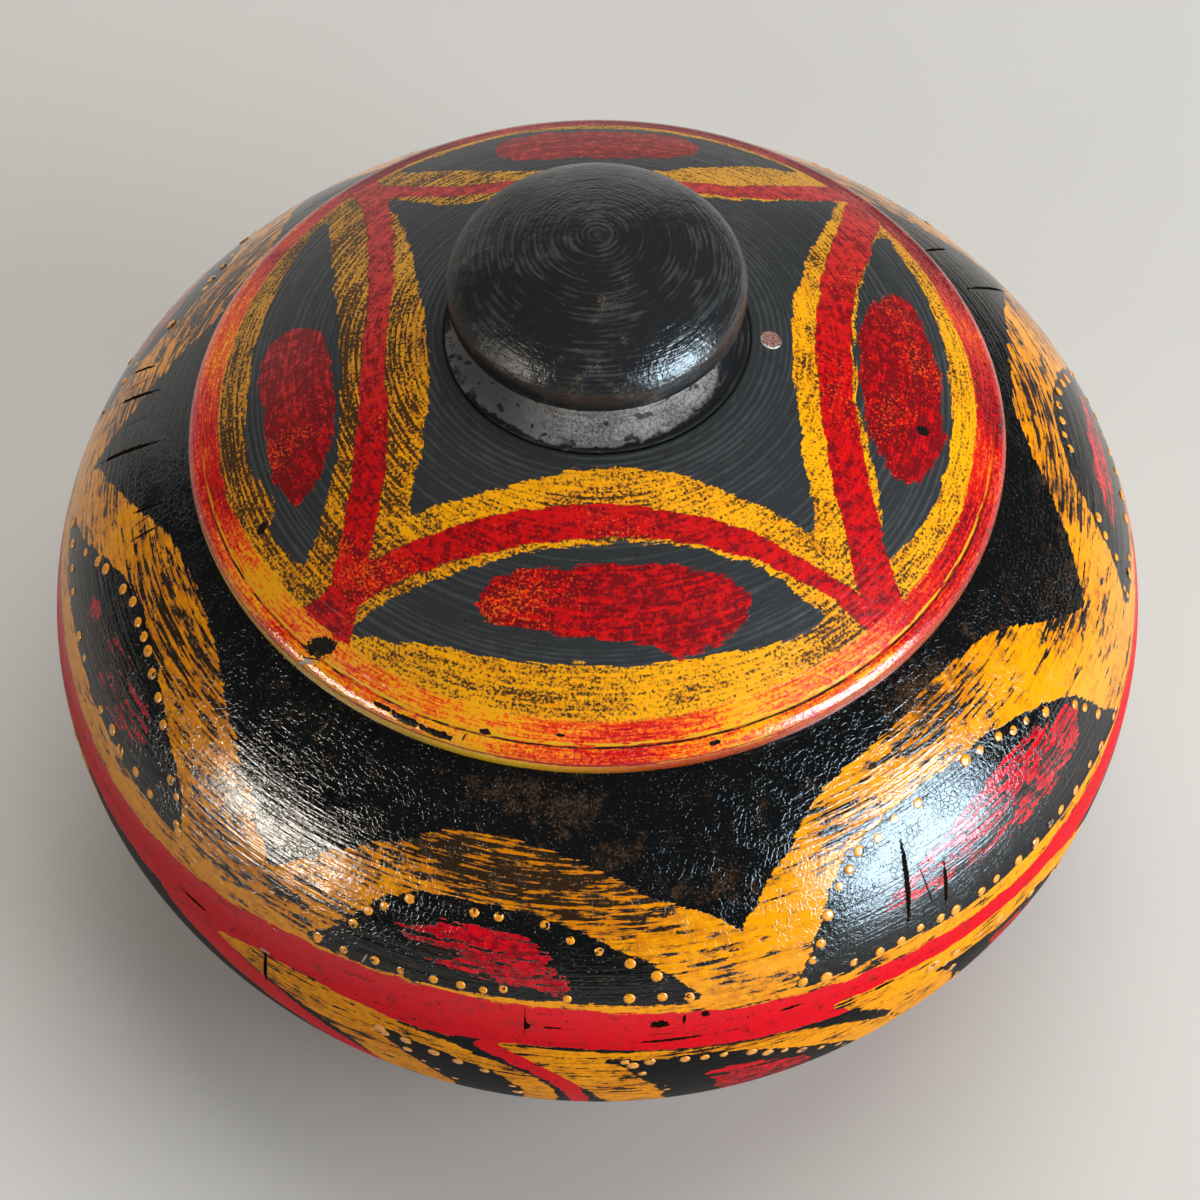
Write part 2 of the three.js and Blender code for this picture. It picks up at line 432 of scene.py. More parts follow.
# The body's upper band of painted arches, as (turn, height): -90 is the front, and notches part the arches
ARCHES = (
    {
        "crest": ((-183, 149.5), (-178, 156), (-172, 162.5), (-166, 166.7), (-158, 168.3), (-150, 167.7),
                  (-144, 165), (-138, 160.8), (-132.5, 155), (-129, 149.5), (-125.8, 143)),
        "leaf": ((-180, 137), (-174, 146), (-169, 152.5), (-164.5, 157), (-159, 158.6), (-153, 157.3),
                 (-148, 154), (-143, 149), (-139.5, 143.5), (-137.5, 137), (-137.5, 132.5), (-146, 134),
                 (-160, 135.4), (-172, 136.4)),
        "blob": ((-166, 146), (-160, 150), (-152, 151), (-148, 148), (-147, 142), (-152, 139.5),
                 (-160, 140.5)),
    },
    {
        "crest": ((-125.8, 143), (-123, 149), (-118, 155), (-112, 160.5), (-104, 164.2), (-97, 163.3),
                  (-91, 160.8), (-85, 156.4), (-80, 152.6), (-77, 149.5), (-75, 146.3)),
        "leaf": ((-119, 131.3), (-117.3, 137.5), (-114.5, 146), (-111, 151.3), (-105, 153.2), (-98, 152.6),
                 (-93, 150.5), (-88, 146), (-84, 141.5), (-81.3, 136), (-80.3, 131), (-90, 132),
                 (-100, 132.3)),
        "blob": ((-111, 144.5), (-107, 147), (-102, 147.8), (-97, 146.3), (-94, 141.5), (-92.6, 137),
                 (-93.8, 134.8), (-98, 136.3), (-103, 137.8), (-107.5, 139.2), (-109.5, 142)),
    },
    {
        "crest": ((-75, 146.3), (-71.5, 154), (-67, 160), (-63, 164.3), (-57, 166.6), (-50, 167.5),
                  (-42, 168.6), (-33, 167.3), (-27, 163.5), (-22, 157.5), (-17.3, 151)),
        "leaf": ((-69.8, 127), (-69, 134), (-67, 142), (-65, 149), (-61, 154.5), (-54, 157.5), (-45, 157.5),
                 (-37, 155.5), (-31, 150.5), (-27, 145), (-25, 137), (-22.5, 128), (-21, 122.6), (-30, 123.4),
                 (-40, 123.6), (-50, 125.4), (-60, 127)),
        "blob": ((-59.5, 139.3), (-55, 143.5), (-49, 147.5), (-42, 150.5), (-37, 150.3), (-31, 147),
                 (-27.5, 143.5), (-29, 139.5), (-31, 135.5), (-38, 134.2), (-45, 135.2), (-53, 137)),
    },
    {
        "crest": ((-17.3, 151), (-12, 157), (-6, 162.5), (0, 166.5), (6, 168.3), (13, 166.8), (20, 163.5),
                  (26, 158.5), (31, 151), (33, 147)),
        "leaf": ((-10, 133), (-8, 143), (-5, 151.5), (-1, 157.3), (4, 159.5), (9, 159.3), (13, 157),
                 (17, 151.5), (19.5, 144), (21, 133), (6, 132)),
        "blob": ((-3, 143.5), (0, 147.5), (4, 149), (8, 148.5), (14, 145), (15.5, 142), (10, 141),
                 (2, 141.3)),
    },
)
# The three arches round the back are like the others: (which arch, first notch, last notch)
BACK_ARCHES = ((1, 33, 80), (3, 80, 128), (0, 128, 177))

# The red band between the registers
BAND_TOP = ((-180, 129), (-165, 128), (-150, 125), (-140, 125.7), (-130, 127.8), (-120, 130.2), (-108, 131),
            (-95, 130.7), (-85, 129), (-75, 126.2), (-65, 124.3), (-55, 122), (-45, 119.5), (-35, 119.3),
            (-25, 120.5), (-15, 124), (-5, 127), (10, 128), (40, 127), (90, 129), (130, 127), (180, 129))
BAND_FOOT = ((-180, 116), (-165, 115), (-150, 110), (-138, 109.5), (-130, 112.5), (-124, 117.6),
             (-115, 117.2), (-107, 114.8), (-99, 116.6), (-90, 116), (-80, 113.6), (-70, 111.5),
             (-60, 108.6), (-50, 105.5), (-42, 103), (-34, 105), (-25, 107), (-10, 112), (10, 114),
             (40, 113), (90, 115), (130, 113), (180, 116))

# The lower band of petals, which lean to the right as they go down. The same group is repeated round the pot.
PETAL_GROUPS = 3
NARROW_PETAL = {
    "petal": ((-130.5, 112), (-127, 116.5), (-122, 117.8), (-114, 117.2), (-107, 113.5), (-101, 108.3),
              (-97.3, 102.5), (-95.3, 96), (-94.4, 88), (-94.2, 76), (-95.5, 58), (-100, 36), (-106, 36),
              (-111.5, 58), (-113, 76), (-114, 88), (-116.5, 97), (-121, 103.5), (-127, 108)),
    "leaf": ((-112.3, 109.8), (-106.5, 107), (-101.5, 102), (-98.6, 95.5), (-97.6, 87), (-97.6, 74),
             (-99.5, 56), (-102.8, 44), (-105.5, 56), (-105.2, 70), (-104.9, 80), (-106.3, 89), (-109, 98.5)),
}
WIDE_PETAL = {
    "petal": ((-99.5, 116), (-92, 115.6), (-80, 113), (-71, 110.5), (-64.5, 103.5), (-60.3, 95), (-57.8, 86),
              (-56.5, 74), (-58, 56), (-65, 34), (-78, 34), (-86.5, 56), (-89, 74), (-90.3, 86), (-91.5, 94),
              (-93.7, 102), (-96.5, 109)),
    "leaf": ((-89.5, 111.5), (-82, 110.3), (-76, 108.5), (-71, 102), (-66.8, 95), (-63.3, 85), (-62, 74),
             (-64, 57), (-71.5, 40), (-80.5, 57), (-83, 74), (-83.8, 87), (-85.2, 98), (-87.2, 106)),
    "blob": ((-79.5, 98), (-76.5, 99.5), (-73, 97), (-69.5, 91), (-67.5, 82), (-67.5, 70), (-70, 56),
             (-74, 52), (-76.5, 62), (-77.3, 75), (-78, 88)),
}
THIRD_PETAL_TURN = 33
DIAGONALS = (
    ((-137, 112), (-130, 104), (-122, 94), (-116, 80), (-114, 62), (-116, 40)),
    ((-101, 114), (-96.5, 106), (-93.8, 98), (-92.3, 88), (-92, 72), (-94, 50)),
)
DIAGONAL_WIDTHS = (13, 5)
FOOT_BAND = (22, 30)
BLOB_WEAR = 0.85
BLOB_MARGIN = 2


def side_edge(across, out, heights):
    """Distance past one painted edge of the lid's square: negative on the rim's side of it."""
    line = softly(list(zip(ACROSS, heights)))
    edge = np.interp(across, line[:, 0], line[:, 1])
    slope = np.interp(across, line[:, 0], np.gradient(line[:, 1], line[:, 0]))
    return (edge - out) / np.sqrt(1 + slope ** 2)


def lid_paint(skin):
    """Where the lid is yellow, red and orange, as distances in millimetres from each paint's edge."""
    x, y = skin.place[:, 0], skin.place[:, 1]
    far = np.full(len(x), FAR)
    outside, leaves, red = far, far, far
    worn, orange = np.zeros(len(x)), np.zeros(len(x))
    for side in LID_SIDES.values():
        across = x * side["across"][0] + y * side["across"][1]
        out = x * side["out"][0] + y * side["out"][1]
        outside = union(outside, side_edge(across, out, side["yellow"]))
        band = within(side_edge(across, out, side["red_near"]), -side_edge(across, out, side["red_far"]))
        leaf = shape_field(across, out, softly(side["leaf"], closed=True))
        blob = shape_field(across, out, softly(side["blob"], closed=True))
        leaves = union(leaves, leaf)
        red = union(red, band, blob)
        worn = np.where(blob < BLOB_MARGIN, side["blob_wear"], worn)
        orange = np.where(blob < BLOB_MARGIN, level(across, side["blob_orange"]), orange)
    top = skin.along > skin.outer_start
    return {
        "yellow": np.where(top, without(outside, leaves), FAR),
        "red": np.where(top, red, FAR),
        "worn_red": worn,
        "orange": orange,
        "rim": np.where(top, skin.bead_end - skin.along, -FAR),
    }


def pot_height_to_along(skin):
    """A function from a height on the body's outside to the length along its profile."""
    outside = skin.along < skin.outer_length
    order = np.argsort(skin.height[outside])
    heights = skin.height[outside][order]
    lengths = skin.along[outside][order]
    return lambda height: np.interp(height, heights, lengths)


def body_shape(skin, along_at, points, closed=True):
    """Distance to a shape painted on the body, measured in millimetres over the surface near it."""
    line = softly(points, closed)
    middle = (line[:, 0].min() + line[:, 0].max()) / 2
    flat = np.stack([(line[:, 0] - middle) * TURN_LENGTH, along_at(line[:, 1])], 1)
    return shape_field(wrapped(skin.turn - middle) * TURN_LENGTH, skin.along, flat, closed)


def moved(points, turn):
    """A line turned on round the pot."""
    return [(at + turn, height) for at, height in points]


def fitted(points, first, last, new_first, new_last):
    """An arch's line moved and stretched round the pot to lie between two new notches."""
    stretch = (new_last - new_first) / (last - first)
    return [(new_first + (at - first) * stretch, height) for at, height in points]


def all_arches():
    """The arches at the front and sides, and those round the back."""
    arches = list(ARCHES)
    for which, first, last in BACK_ARCHES:
        old = ARCHES[which]
        ends = old["crest"][0][0], old["crest"][-1][0]
        arches.append({name: fitted(line, *ends, first, last) for name, line in old.items()})
    return arches


def all_petals():
    """The three petals of each group, all round the pot."""
    petals = []
    for group in range(PETAL_GROUPS):
        turn = group * 360 / PETAL_GROUPS
        for petal, extra in ((NARROW_PETAL, 0), (WIDE_PETAL, 0), (WIDE_PETAL, THIRD_PETAL_TURN)):
            petals.append({name: moved(line, turn + extra) for name, line in petal.items()})
    return petals


def body_paint(skin):
    """Where the body is yellow and red, as distances in millimetres from each paint's edge."""
    along_at = pot_height_to_along(skin)
    far = np.full(len(skin.turn), FAR)
    top = along_at(level(skin.turn, BAND_TOP))
    foot = along_at(level(skin.turn, BAND_FOOT))
    band = within(skin.along - top, foot - skin.along)
    yellow, red, leaves, blobs = far, band, far, far
    for arch in all_arches():
        crest = softly(arch["crest"])
        middle = (crest[0, 0] + crest[-1, 0]) / 2
        half = (crest[-1, 0] - crest[0, 0]) / 2
        turn = wrapped(skin.turn - middle)
        edge = along_at(np.interp(turn + middle, crest[:, 0], crest[:, 1]))
        slope = np.gradient(along_at(crest[:, 1]), crest[:, 0] * np.radians(1) * WIDEST_RADIUS)
        steep = np.interp(turn + middle, crest[:, 0], slope)
        under_crest = (skin.along - edge) / np.sqrt(1 + steep ** 2)
        field = np.where(np.abs(turn) <= half, under_crest, far)
        yellow = union(yellow, within(field, foot - skin.along))
        leaves = union(leaves, body_shape(skin, along_at, arch["leaf"]))
        blobs = union(blobs, body_shape(skin, along_at, arch["blob"]))
    yellow = without(yellow, leaves)
    for petal in all_petals():
        shape = body_shape(skin, along_at, petal["petal"])
        leaf = body_shape(skin, along_at, petal["leaf"])
        yellow = union(yellow, without(shape, leaf))
        red = without(red, shape)
        if "blob" in petal:
            blobs = union(blobs, body_shape(skin, along_at, petal["blob"]))
    for group in range(PETAL_GROUPS):
        for line, width in zip(DIAGONALS, DIAGONAL_WIDTHS):
            stroke = body_shape(skin, along_at, moved(line, group * 360 / PETAL_GROUPS), closed=False)
            red = union(red, without(stroke - width / 2, yellow))
    red = union(red, within(skin.along - along_at(FOOT_BAND[1]), along_at(FOOT_BAND[0]) - skin.along))
    outer = skin.along < skin.outer_length
    red = union(red, blobs)
    blob_worn = BLOB_WEAR + placed(skin.turn, skin.height, RED_WORN_PLACES)
    return {
        "yellow": np.where(outer, yellow, far),
        "red": np.where(outer, red, far),
        "worn_red": np.where(blobs < BLOB_MARGIN, blob_worn, 0),
    }


# Dots of yellow paint follow the edges of the black leaves, just inside them
DOT_INSET = 2.1
DOT_SPACING = 6.8
DOT_RADII = (1.1, 1.75)
DOT_HEIGHT = 0.24
DOT_SUNK = 0.06
DOT_SIDES = 10
DOT_RINGS = 5
DOT_GAPS = 0.16
DOT_LOWEST = 80
DOT_STRAY = 0.7
DOT_UNEVEN = 2
DOT_SEED = 21
BELLY_STRETCH = 1.15
FOOT_POINTS = 3

# Marks on the body: (turn, height, half width, half height, lean, kind).
# The kinds are 0 for a pale chip, 1 for a dark one and 2 for a deep crack. The pale mark at (-124.5, 118.5)
# is no chip but a painted highlight on the top of the crack below it.
BODY_MARKS = (
    (-56.6, 141.9, 0.75, 10.2, 14, 2), (-52.4, 136.2, 0.6, 5.7, 15, 2), (-124.5, 111, 0.6, 7, 3, 2),
    (-97, 126, 0.16, 4.5, 0, 2), (-124.5, 118.5, 1.5, 0.5, 0, 0), (-113.5, 133, 0.25, 1.6, 20, 0),
    (-83, 118.7, 8, 0.55, 0, 1), (-84, 125, 2.2, 1.3, 0, 1), (-94.4, 124.2, 2.6, 0.35, 0, 1),
    (-61, 115, 3.4, 0.6, 0, 1), (-134, 117, 5, 0.6, 0, 1), (-71, 121.5, 3, 0.5, 0, 1),
    (-79.5, 126.6, 1.2, 1.1, 0, 1),
    (-197, 154, 0.5, 4.4, 12, 2), (-192, 156.5, 0.6, 6.5, 10, 2), (-183, 158, 0.7, 8.4, 14, 2),
    (-172, 164, 0.5, 3.4, 18, 2), (-168.5, 163, 0.4, 3.2, 8, 2), (30.5, 157.5, 0.6, 8.2, -14, 2),
    (38, 163, 0.5, 4, -10, 2), (150, 130, 0.9, 7, 6, 2), (95, 96, 0.8, 9, 3, 2), (12, 78, 0.8, 6, -5, 2),
)
MARK_REACH = 9
MARK_FAR = 200.0
UNMARKED_KIND = 1

# Places where brown dirt has settled on the body: (turn, height, half width in turns, half height, how much)
DIRT_PLACES = (
    (-100, 170, 8, 2.5, 0.8), (-93.5, 168, 4, 4, 1), (-88, 163, 4, 3, 0.9), (-76, 156, 5, 4, 0.9),
    (-100, 158, 12, 4, 0.4), (-44, 169, 6, 3.5, 1), (-30, 166, 7, 4, 0.5), (-16, 158, 6, 6, 0.6),
    (-4, 160, 5, 6, 0.7), (-130, 168, 10, 3, 0.3), (44, 158, 8, 6, 0.7), (100, 165, 12, 4, 0.7),
    (165, 150, 8, 6, 0.7),
)

# Places where the body's yellow is worn away along the turning, written in the same way
WORN_PLACES = (
    (-98, 158.5, 19, 9, 1.3), (-88, 150, 11, 6, 0.9), (-116, 150, 6, 9, 0.7), (-152, 162, 20, 8, 0.8),
    (-133, 152, 5, 7, 0.8), (-130, 140, 12, 5, 0.6), (-62, 160, 7, 6, 0.7), (-42, 166, 13, 5, 0.7),
    (-22, 156, 5, 6, 0.5), (-70, 136, 6, 8, 0.4), (2, 163, 18, 6, 0.8), (30, 150, 8, 9, 0.8),
    (58, 162, 16, 7, 0.9),
    (104, 163, 16, 7, 1), (150, 163, 18, 8, 1.1), (175, 155, 12, 10, 1), (-75, 112, 9, 4, 0.8),
    (-118, 100, 14, 12, 0.6),
)
# The same for the body's red, and for the lid's yellow, where a radius takes the height's place
RED_WORN_PLACES = ((-157, 145, 12, 9, 0.7), (-100, 141, 8, 5, 0.2), (-45, 142, 9, 5, 0.15))
LID_WORN_PLACES = (
    (-172, 72, 34, 40, 0.8), (140, 85, 30, 26, 0.6), (90, 75, 30, 25, 0.3), (-92, 52, 16, 6, 0.4),
    (-45, 92, 14, 8, 0.4), (30, 85, 16, 18, 0.2),
)


def placed(turn, other, places):
    """How much each vertex has of something that fades out round each of its places."""
    most = np.zeros(len(turn))
    for turn_at, other_at, wide, high, much in places:
        far_off = (wrapped(turn - turn_at) / wide) ** 2 + ((other - other_at) / high) ** 2
        most = np.maximum(most, much * np.exp(-far_off))
    return most


def keep_marks(skin, marks, across_all, up_all):
    """Stores each vertex's place in the nearest mark, in half widths and heights, and the mark's kind."""
    nearest = np.full(len(across_all[0]), HUGE)
    values = np.full((len(nearest), 3), MARK_FAR)
    values[:, 2] = UNMARKED_KIND
    for (_, _, wide, high, leaning, kind), across, up in zip(marks, across_all, up_all):
        lean = math.radians(leaning)
        along = up * math.cos(lean) + across * math.sin(lean)
        beside = across * math.cos(lean) - up * math.sin(lean)
        beyond = np.hypot(np.maximum(np.abs(beside) - wide, 0), np.maximum(np.abs(along) - high, 0))
        closer = (beyond < nearest) & (beyond < MARK_REACH)
        nearest[closer] = beyond[closer]
        values[closer] = np.stack([beside / wide, along / high, np.full(len(along), kind)], 1)[closer]
    skin.keep("mark", values)


def turning_marks(skin, pitch, seed):
    """Ridges left by the turning, 0 to 1: a steady pitch made uneven, wandering a little round the piece."""
    uneven = ring_noise(skin, pitch * UNEVEN_PITCHES, seed)
    steady = 0.5 + 0.5 * np.sin((skin.along / pitch + uneven * UNEVEN_SHARE) * math.tau)
    return STEADY_SHARE * steady + LOOSE_SHARE * ring_noise(skin, pitch / 2, seed + 1)


def turned(skin, turning, where):
    """Keeps a piece's turning marks and its grain's places, and cuts the marks in where they belong."""
    relief = turning_marks(skin, turning["pitch"], turning["seed"])
    skin.keep("relief", relief)
    skin.keep_lathe(turning["streak"])
    skin.carve(np.where(where, turning["depth"] * (1 - relief), 0))


# The profiles, from the axis below round the outside to the axis again
SEAT_RADIUS = LID_RADIUS - SEAT_INSET
MOUTH_RADIUS = SEAT_RADIUS - SEAT_WIDTH
BEAD_HEIGHT = LID_BASE + BEAD
DOME_EDGE = LID_RADIUS - BEAD + BEAD_COVER
DOME_EDGE_HEIGHT = BEAD_HEIGHT + math.sqrt(BEAD ** 2 - BEAD_COVER ** 2)
DOME_RADIUS = (DOME_EDGE ** 2 + DOME_RISE ** 2) / (2 * DOME_RISE)
DOME_CENTRE = DOME_EDGE_HEIGHT + DOME_RISE - DOME_RADIUS
LAND_RADIUS = KNOB_FOOT_RADIUS + LAND_MARGIN
KNOB_BASE = DOME_CENTRE + math.sqrt(DOME_RADIUS ** 2 - LAND_RADIUS ** 2) - LAND_DEPTH + JOINT_GAP
KNOB_FOOT_TOP = KNOB_BASE + 2 * KNOB_FOOT_EDGE
CAP_EDGE = KNOB_BASE + KNOB_FOOT_EDGE + NECK_HEIGHT + CAP_LIP / 2


def sphere_arc(radius, start, end, steps=80):
    """Points of a round dome on the axis, between two radii."""
    reach = np.linspace(start, end, steps)
    return np.stack([reach, DOME_CENTRE + np.sqrt(radius ** 2 - reach ** 2)], 1)


def body_profile():
    """The body's profile, and how long its outside is from the middle of the foot up to the seat's edge."""
    reach_at_foot = rounded_radius(WIDEST_RADIUS, BELLY_DROP, BELLY_POWER, WIDEST_HEIGHT - FOOT_HEIGHT)
    foot = reach_at_foot - FOOT_STEP
    belly = rounded(WIDEST_RADIUS, BELLY_DROP, BELLY_POWER, reach_at_foot)
    shoulder = rounded(WIDEST_RADIUS, SHOULDER_RISE, SHOULDER_POWER, SEAT_RADIUS)
    hollow = WIDEST_RADIUS - WALL
    roof = rounded(hollow, SHOULDER_RISE - WALL, SHOULDER_POWER, MOUTH_RADIUS)
    floor_radius = rounded_radius(hollow, BELLY_DROP - WALL, BELLY_POWER, WIDEST_HEIGHT - FLOOR)
    bowl = rounded(hollow, BELLY_DROP - WALL, BELLY_POWER, floor_radius)
    down = np.array([1, -1])
    middle = np.array([0, WIDEST_HEIGHT])
    outside = (
        ([(0, 0), (foot - FOOT_EDGE, 0)], PLAIN_SPACING),
        (arc(foot - FOOT_EDGE, FOOT_EDGE, FOOT_EDGE, -90, 0), EDGE_SPACING),
        ([(foot, FOOT_EDGE), (foot, FOOT_HEIGHT)], EDGE_SPACING),
        ([(foot, FOOT_HEIGHT), (reach_at_foot, FOOT_HEIGHT)], EDGE_SPACING),
        ((belly * down + middle)[::-1], BELLY_SPACING),
        (shoulder + middle, SHOULDER_SPACING),
    )
    inside = (
        ([(SEAT_RADIUS, SEAT_HEIGHT), (MOUTH_RADIUS + SOFT_EDGE, SEAT_HEIGHT)], PLAIN_SPACING),
        (arc(MOUTH_RADIUS + SOFT_EDGE, SEAT_HEIGHT - SOFT_EDGE, SOFT_EDGE, 90, 180), EDGE_SPACING),
        ((roof + middle)[::-1], PLAIN_SPACING),
        (bowl * down + middle, PLAIN_SPACING),
        ([(floor_radius, FLOOR), (0, FLOOR)], PLAIN_SPACING),
    )
    return joined(*outside, *inside), profile_length(joined(*outside))


def profile_length(profile):
    """How long a profile is, measured along it."""
    return step_lengths(profile).sum()


def lid_profile():
    """The lid's profile as a closed ring, with where its painted outside starts and where its bead ends."""
    spigot = MOUTH_RADIUS - SPIGOT_CLEARANCE
    spigot_inside = spigot - SPIGOT_WALL
    spigot_foot = LID_BASE - SPIGOT_DEPTH
    socket = TENON_RADIUS + JOINT_GAP
    bead_start = math.degrees(math.acos(BEAD_COVER / BEAD))
    land_height = KNOB_BASE - JOINT_GAP
    hollow = sphere_arc(DOME_RADIUS - LID_WALL, socket, spigot_inside)
    spigot_ring = [tuple(hollow[-1]), (spigot_inside, spigot_foot), (spigot - SOFT_EDGE, spigot_foot)]
    underside = [(spigot, spigot_foot + SOFT_EDGE), (spigot, LID_BASE), (LID_RADIUS - BEAD, LID_BASE)]
    hidden = (
        (hollow, PLAIN_SPACING),
        (spigot_ring, STRAIGHT_SPACING),
        (arc(spigot - SOFT_EDGE, spigot_foot + SOFT_EDGE, SOFT_EDGE, -90, 0), EDGE_SPACING),
        (underside, STRAIGHT_SPACING),
    )
    shown = (
        (arc(LID_RADIUS - BEAD, BEAD_HEIGHT, BEAD, -90, bead_start, BEAD_POINTS), EDGE_SPACING),
        (sphere_arc(DOME_RADIUS, DOME_EDGE, LAND_RADIUS), LID_SPACING),
        ([(LAND_RADIUS, land_height), (socket, land_height)], STRAIGHT_SPACING),
        ([(socket, land_height), tuple(hollow[0])], PLAIN_SPACING),
    )
    whole = joined(*hidden, *shown)
    return whole[:-1], profile_length(joined(*hidden)), profile_length(joined(*hidden, shown[0]))


def knob_profile():
    """The knob's profile, from the end of its tenon up round the foot, neck and cap to the top."""
    foot_middle = KNOB_FOOT_RADIUS - KNOB_FOOT_EDGE
    lip_middle = CAP_RADIUS - CAP_LIP / 2
    neck_middle = (KNOB_FOOT_TOP + CAP_EDGE) / 2
    turns = np.radians(np.linspace(-90, 90, NECK_POINTS))
    outer = np.where(turns < 0, foot_middle, lip_middle)
    half = np.where(turns < 0, neck_middle - KNOB_FOOT_TOP, CAP_EDGE - CAP_LIP - neck_middle)
    neck = np.stack([outer - (outer - NECK_RADIUS) * np.cos(turns), neck_middle + half * np.sin(turns)], 1)
    cap = rounded(CAP_RADIUS, CAP_RISE, CAP_POWER, 0)
    stretches = (
        ([(0, TENON_END), (TENON_RADIUS, TENON_END), (TENON_RADIUS, KNOB_BASE)], STRAIGHT_SPACING),
        ([(TENON_RADIUS, KNOB_BASE), (foot_middle, KNOB_BASE)], PLAIN_SPACING),
        (arc(foot_middle, KNOB_BASE + KNOB_FOOT_EDGE, KNOB_FOOT_EDGE, -90, 90), KNOB_SPACING),
        (neck, KNOB_SPACING),
        (arc(lip_middle, CAP_EDGE - CAP_LIP / 2, CAP_LIP / 2, -90, 0), KNOB_SPACING),
        (cap + np.array([0, CAP_EDGE]), KNOB_SPACING),
    )
    return joined(*stretches)


def colour(red, green, blue):
    """A colour for Blender from one as a screen shows it, 0 to 255."""
    parts = [value / 255 for value in (red, green, blue)]
    return tuple(p / 12.92 if p <= 0.04045 else ((p + 0.055) / 1.055) ** 2.4 for p in parts) + (1.0,)


class Finish:
    """A finish made of nodes, one value at a time. Any value may be a number, a colour or a node's output."""

    def __init__(self, name):
        self.material = bpy.data.materials.new(name)
        self.material.use_nodes = True
        self.nodes = self.material.node_tree.nodes
        self.links = self.material.node_tree.links
        self.shader = self.nodes["Principled BSDF"]
        here = self.node("ShaderNodeTexCoord", {}, "Object")
        self.place = self.node("ShaderNodeVectorMath", {0: here, "Scale": 1 / MM}, operation="SCALE")
        self.lathe = self.node("ShaderNodeAttribute", {}, "Vector", attribute_name="lathe")

    def node(self, kind, inputs, output=0, **settings):
        node = self.nodes.new(kind)
        for name, value in settings.items():
            setattr(node, name, value)
        for name, value in inputs.items():
            self.put(node.inputs[name], value)
        return node.outputs[output]

    def put(self, socket, value):
        if isinstance(value, bpy.types.NodeSocket):
            self.links.new(value, socket)
        else:
            socket.default_value = value

    def kept(self, name):
        """A number kept at the piece's vertices."""
        return self.node("ShaderNodeAttribute", {}, "Fac", attribute_name=name)

    def math(self, operation, first, second=0.0):
        return self.node("ShaderNodeMath", {0: first, 1: second}, operation=operation)

    def rest(self, share):
        """What a share leaves of one."""
        return self.math("SUBTRACT", 1.0, share)

    def total(self, *terms):
        """The sum of (value, weight) pairs."""
        whole = 0.0
        for value, weight in terms:
            whole = self.node("ShaderNodeMath", {0: value, 1: weight, 2: whole}, operation="MULTIPLY_ADD")
        return whole

    def times(self, *values):
        whole = values[0]
        for value in values[1:]:
            whole = self.math("MULTIPLY", whole, value)
        return whole

    def ramp(self, value, low, high, start=0.0, end=1.0):
        """From start at low to end at high, smoothly, and steady beyond them."""
        limits = {"Value": value, "From Min": low, "From Max": high, "To Min": start, "To Max": end}
        return self.node("ShaderNodeMapRange", limits, interpolation_type="SMOOTHSTEP")

    def mix(self, share, first, second):
        return self.node("ShaderNodeMix", {0: share, 6: first, 7: second}, 2, data_type="RGBA")

    def mix_number(self, share, first, second):
        return self.node("ShaderNodeMix", {0: share, 2: first, 3: second}, 0, data_type="FLOAT")

    def noise(self, place, size, detail=2.0, rough=0.5, shift=0.0):
        """Noise about 0.5 with features about size millimetres across."""
        moved = self.node("ShaderNodeVectorMath", {0: place, 1: (shift, shift, shift)}, operation="ADD")
        settings = {"Vector": moved, "Scale": 1 / size, "Detail": detail, "Roughness": rough}
        return self.node("ShaderNodeTexNoise", settings, 0)

    def creases(self, place, size, wobble):
        """Distance to the nearest line of a wandering net, 0 on the lines and about 0.5 between them."""
        drift = self.node("ShaderNodeTexNoise", {"Vector": place, "Scale": 1 / size, "Detail": 2.0}, "Color")
        ways = (wobble, wobble, wobble)
        moved = self.node("ShaderNodeVectorMath", {0: drift, 1: ways, 2: place}, operation="MULTIPLY_ADD")
        settings = {"Vector": moved, "Scale": 1 / size}
        return self.node("ShaderNodeTexVoronoi", settings, "Distance", feature="DISTANCE_TO_EDGE")

    def part(self, vector, name):
        return self.node("ShaderNodeSeparateXYZ", {0: vector}, name)

    def give(self, values):
        """Gives the shader's own sockets their values, by name."""
        for name, value in values.items():
            self.put(self.shader.inputs[name], value)

    def done(self, tone, roughness, height, coat=0.0, coat_roughness=0.1):
        """Joins up the colour, the roughness and the bump, whose height is in millimetres."""
        bumped = self.node("ShaderNodeBump", {"Strength": 1.0, "Distance": MM, "Height": height}, "Normal")
        self.give({"Base Color": tone, "Roughness": roughness, "Normal": bumped, "Coat Normal": bumped,
                   "Coat Weight": coat, "Coat Roughness": coat_roughness})
        return self.material


BLACK = colour(7, 8, 9)
KNOB_BLACK = colour(28, 29, 30)
LID_BLACK = colour(41, 43, 44)
# Painted sheen: a lighter grey for the turning ridges, standing in for light shining back from them
RIDGE_SHEEN = colour(84, 86, 87)
BROWN_BLACK = colour(22, 15, 10)
LID_GAP = colour(62, 40, 14)
DARK_BROWN = colour(82, 46, 12)
# Painted sheen: paler paint colours, standing in for a haze of reflected light towards the back
SHEEN_YELLOW = colour(174, 128, 40)
SHEEN_RED = colour(170, 58, 52)
SHEEN_DEEP_RED = colour(108, 28, 28)
LID_YELLOW = colour(226, 154, 0)
LID_AMBER = colour(206, 124, 0)
BODY_YELLOW = colour(228, 146, 0)
BODY_AMBER = colour(194, 112, 0)
LID_RED = colour(188, 6, 8)
LID_DEEP_RED = colour(104, 4, 12)
BODY_RED = colour(204, 0, 20)
BODY_DEEP_RED = colour(128, 2, 18)
ORANGE = colour(224, 84, 14)
RIM_ORANGE = colour(226, 84, 14)
RIM_GREEN = colour(186, 166, 14)
SPECK_BROWN = colour(30, 21, 14)
DIRT = colour(80, 57, 39)
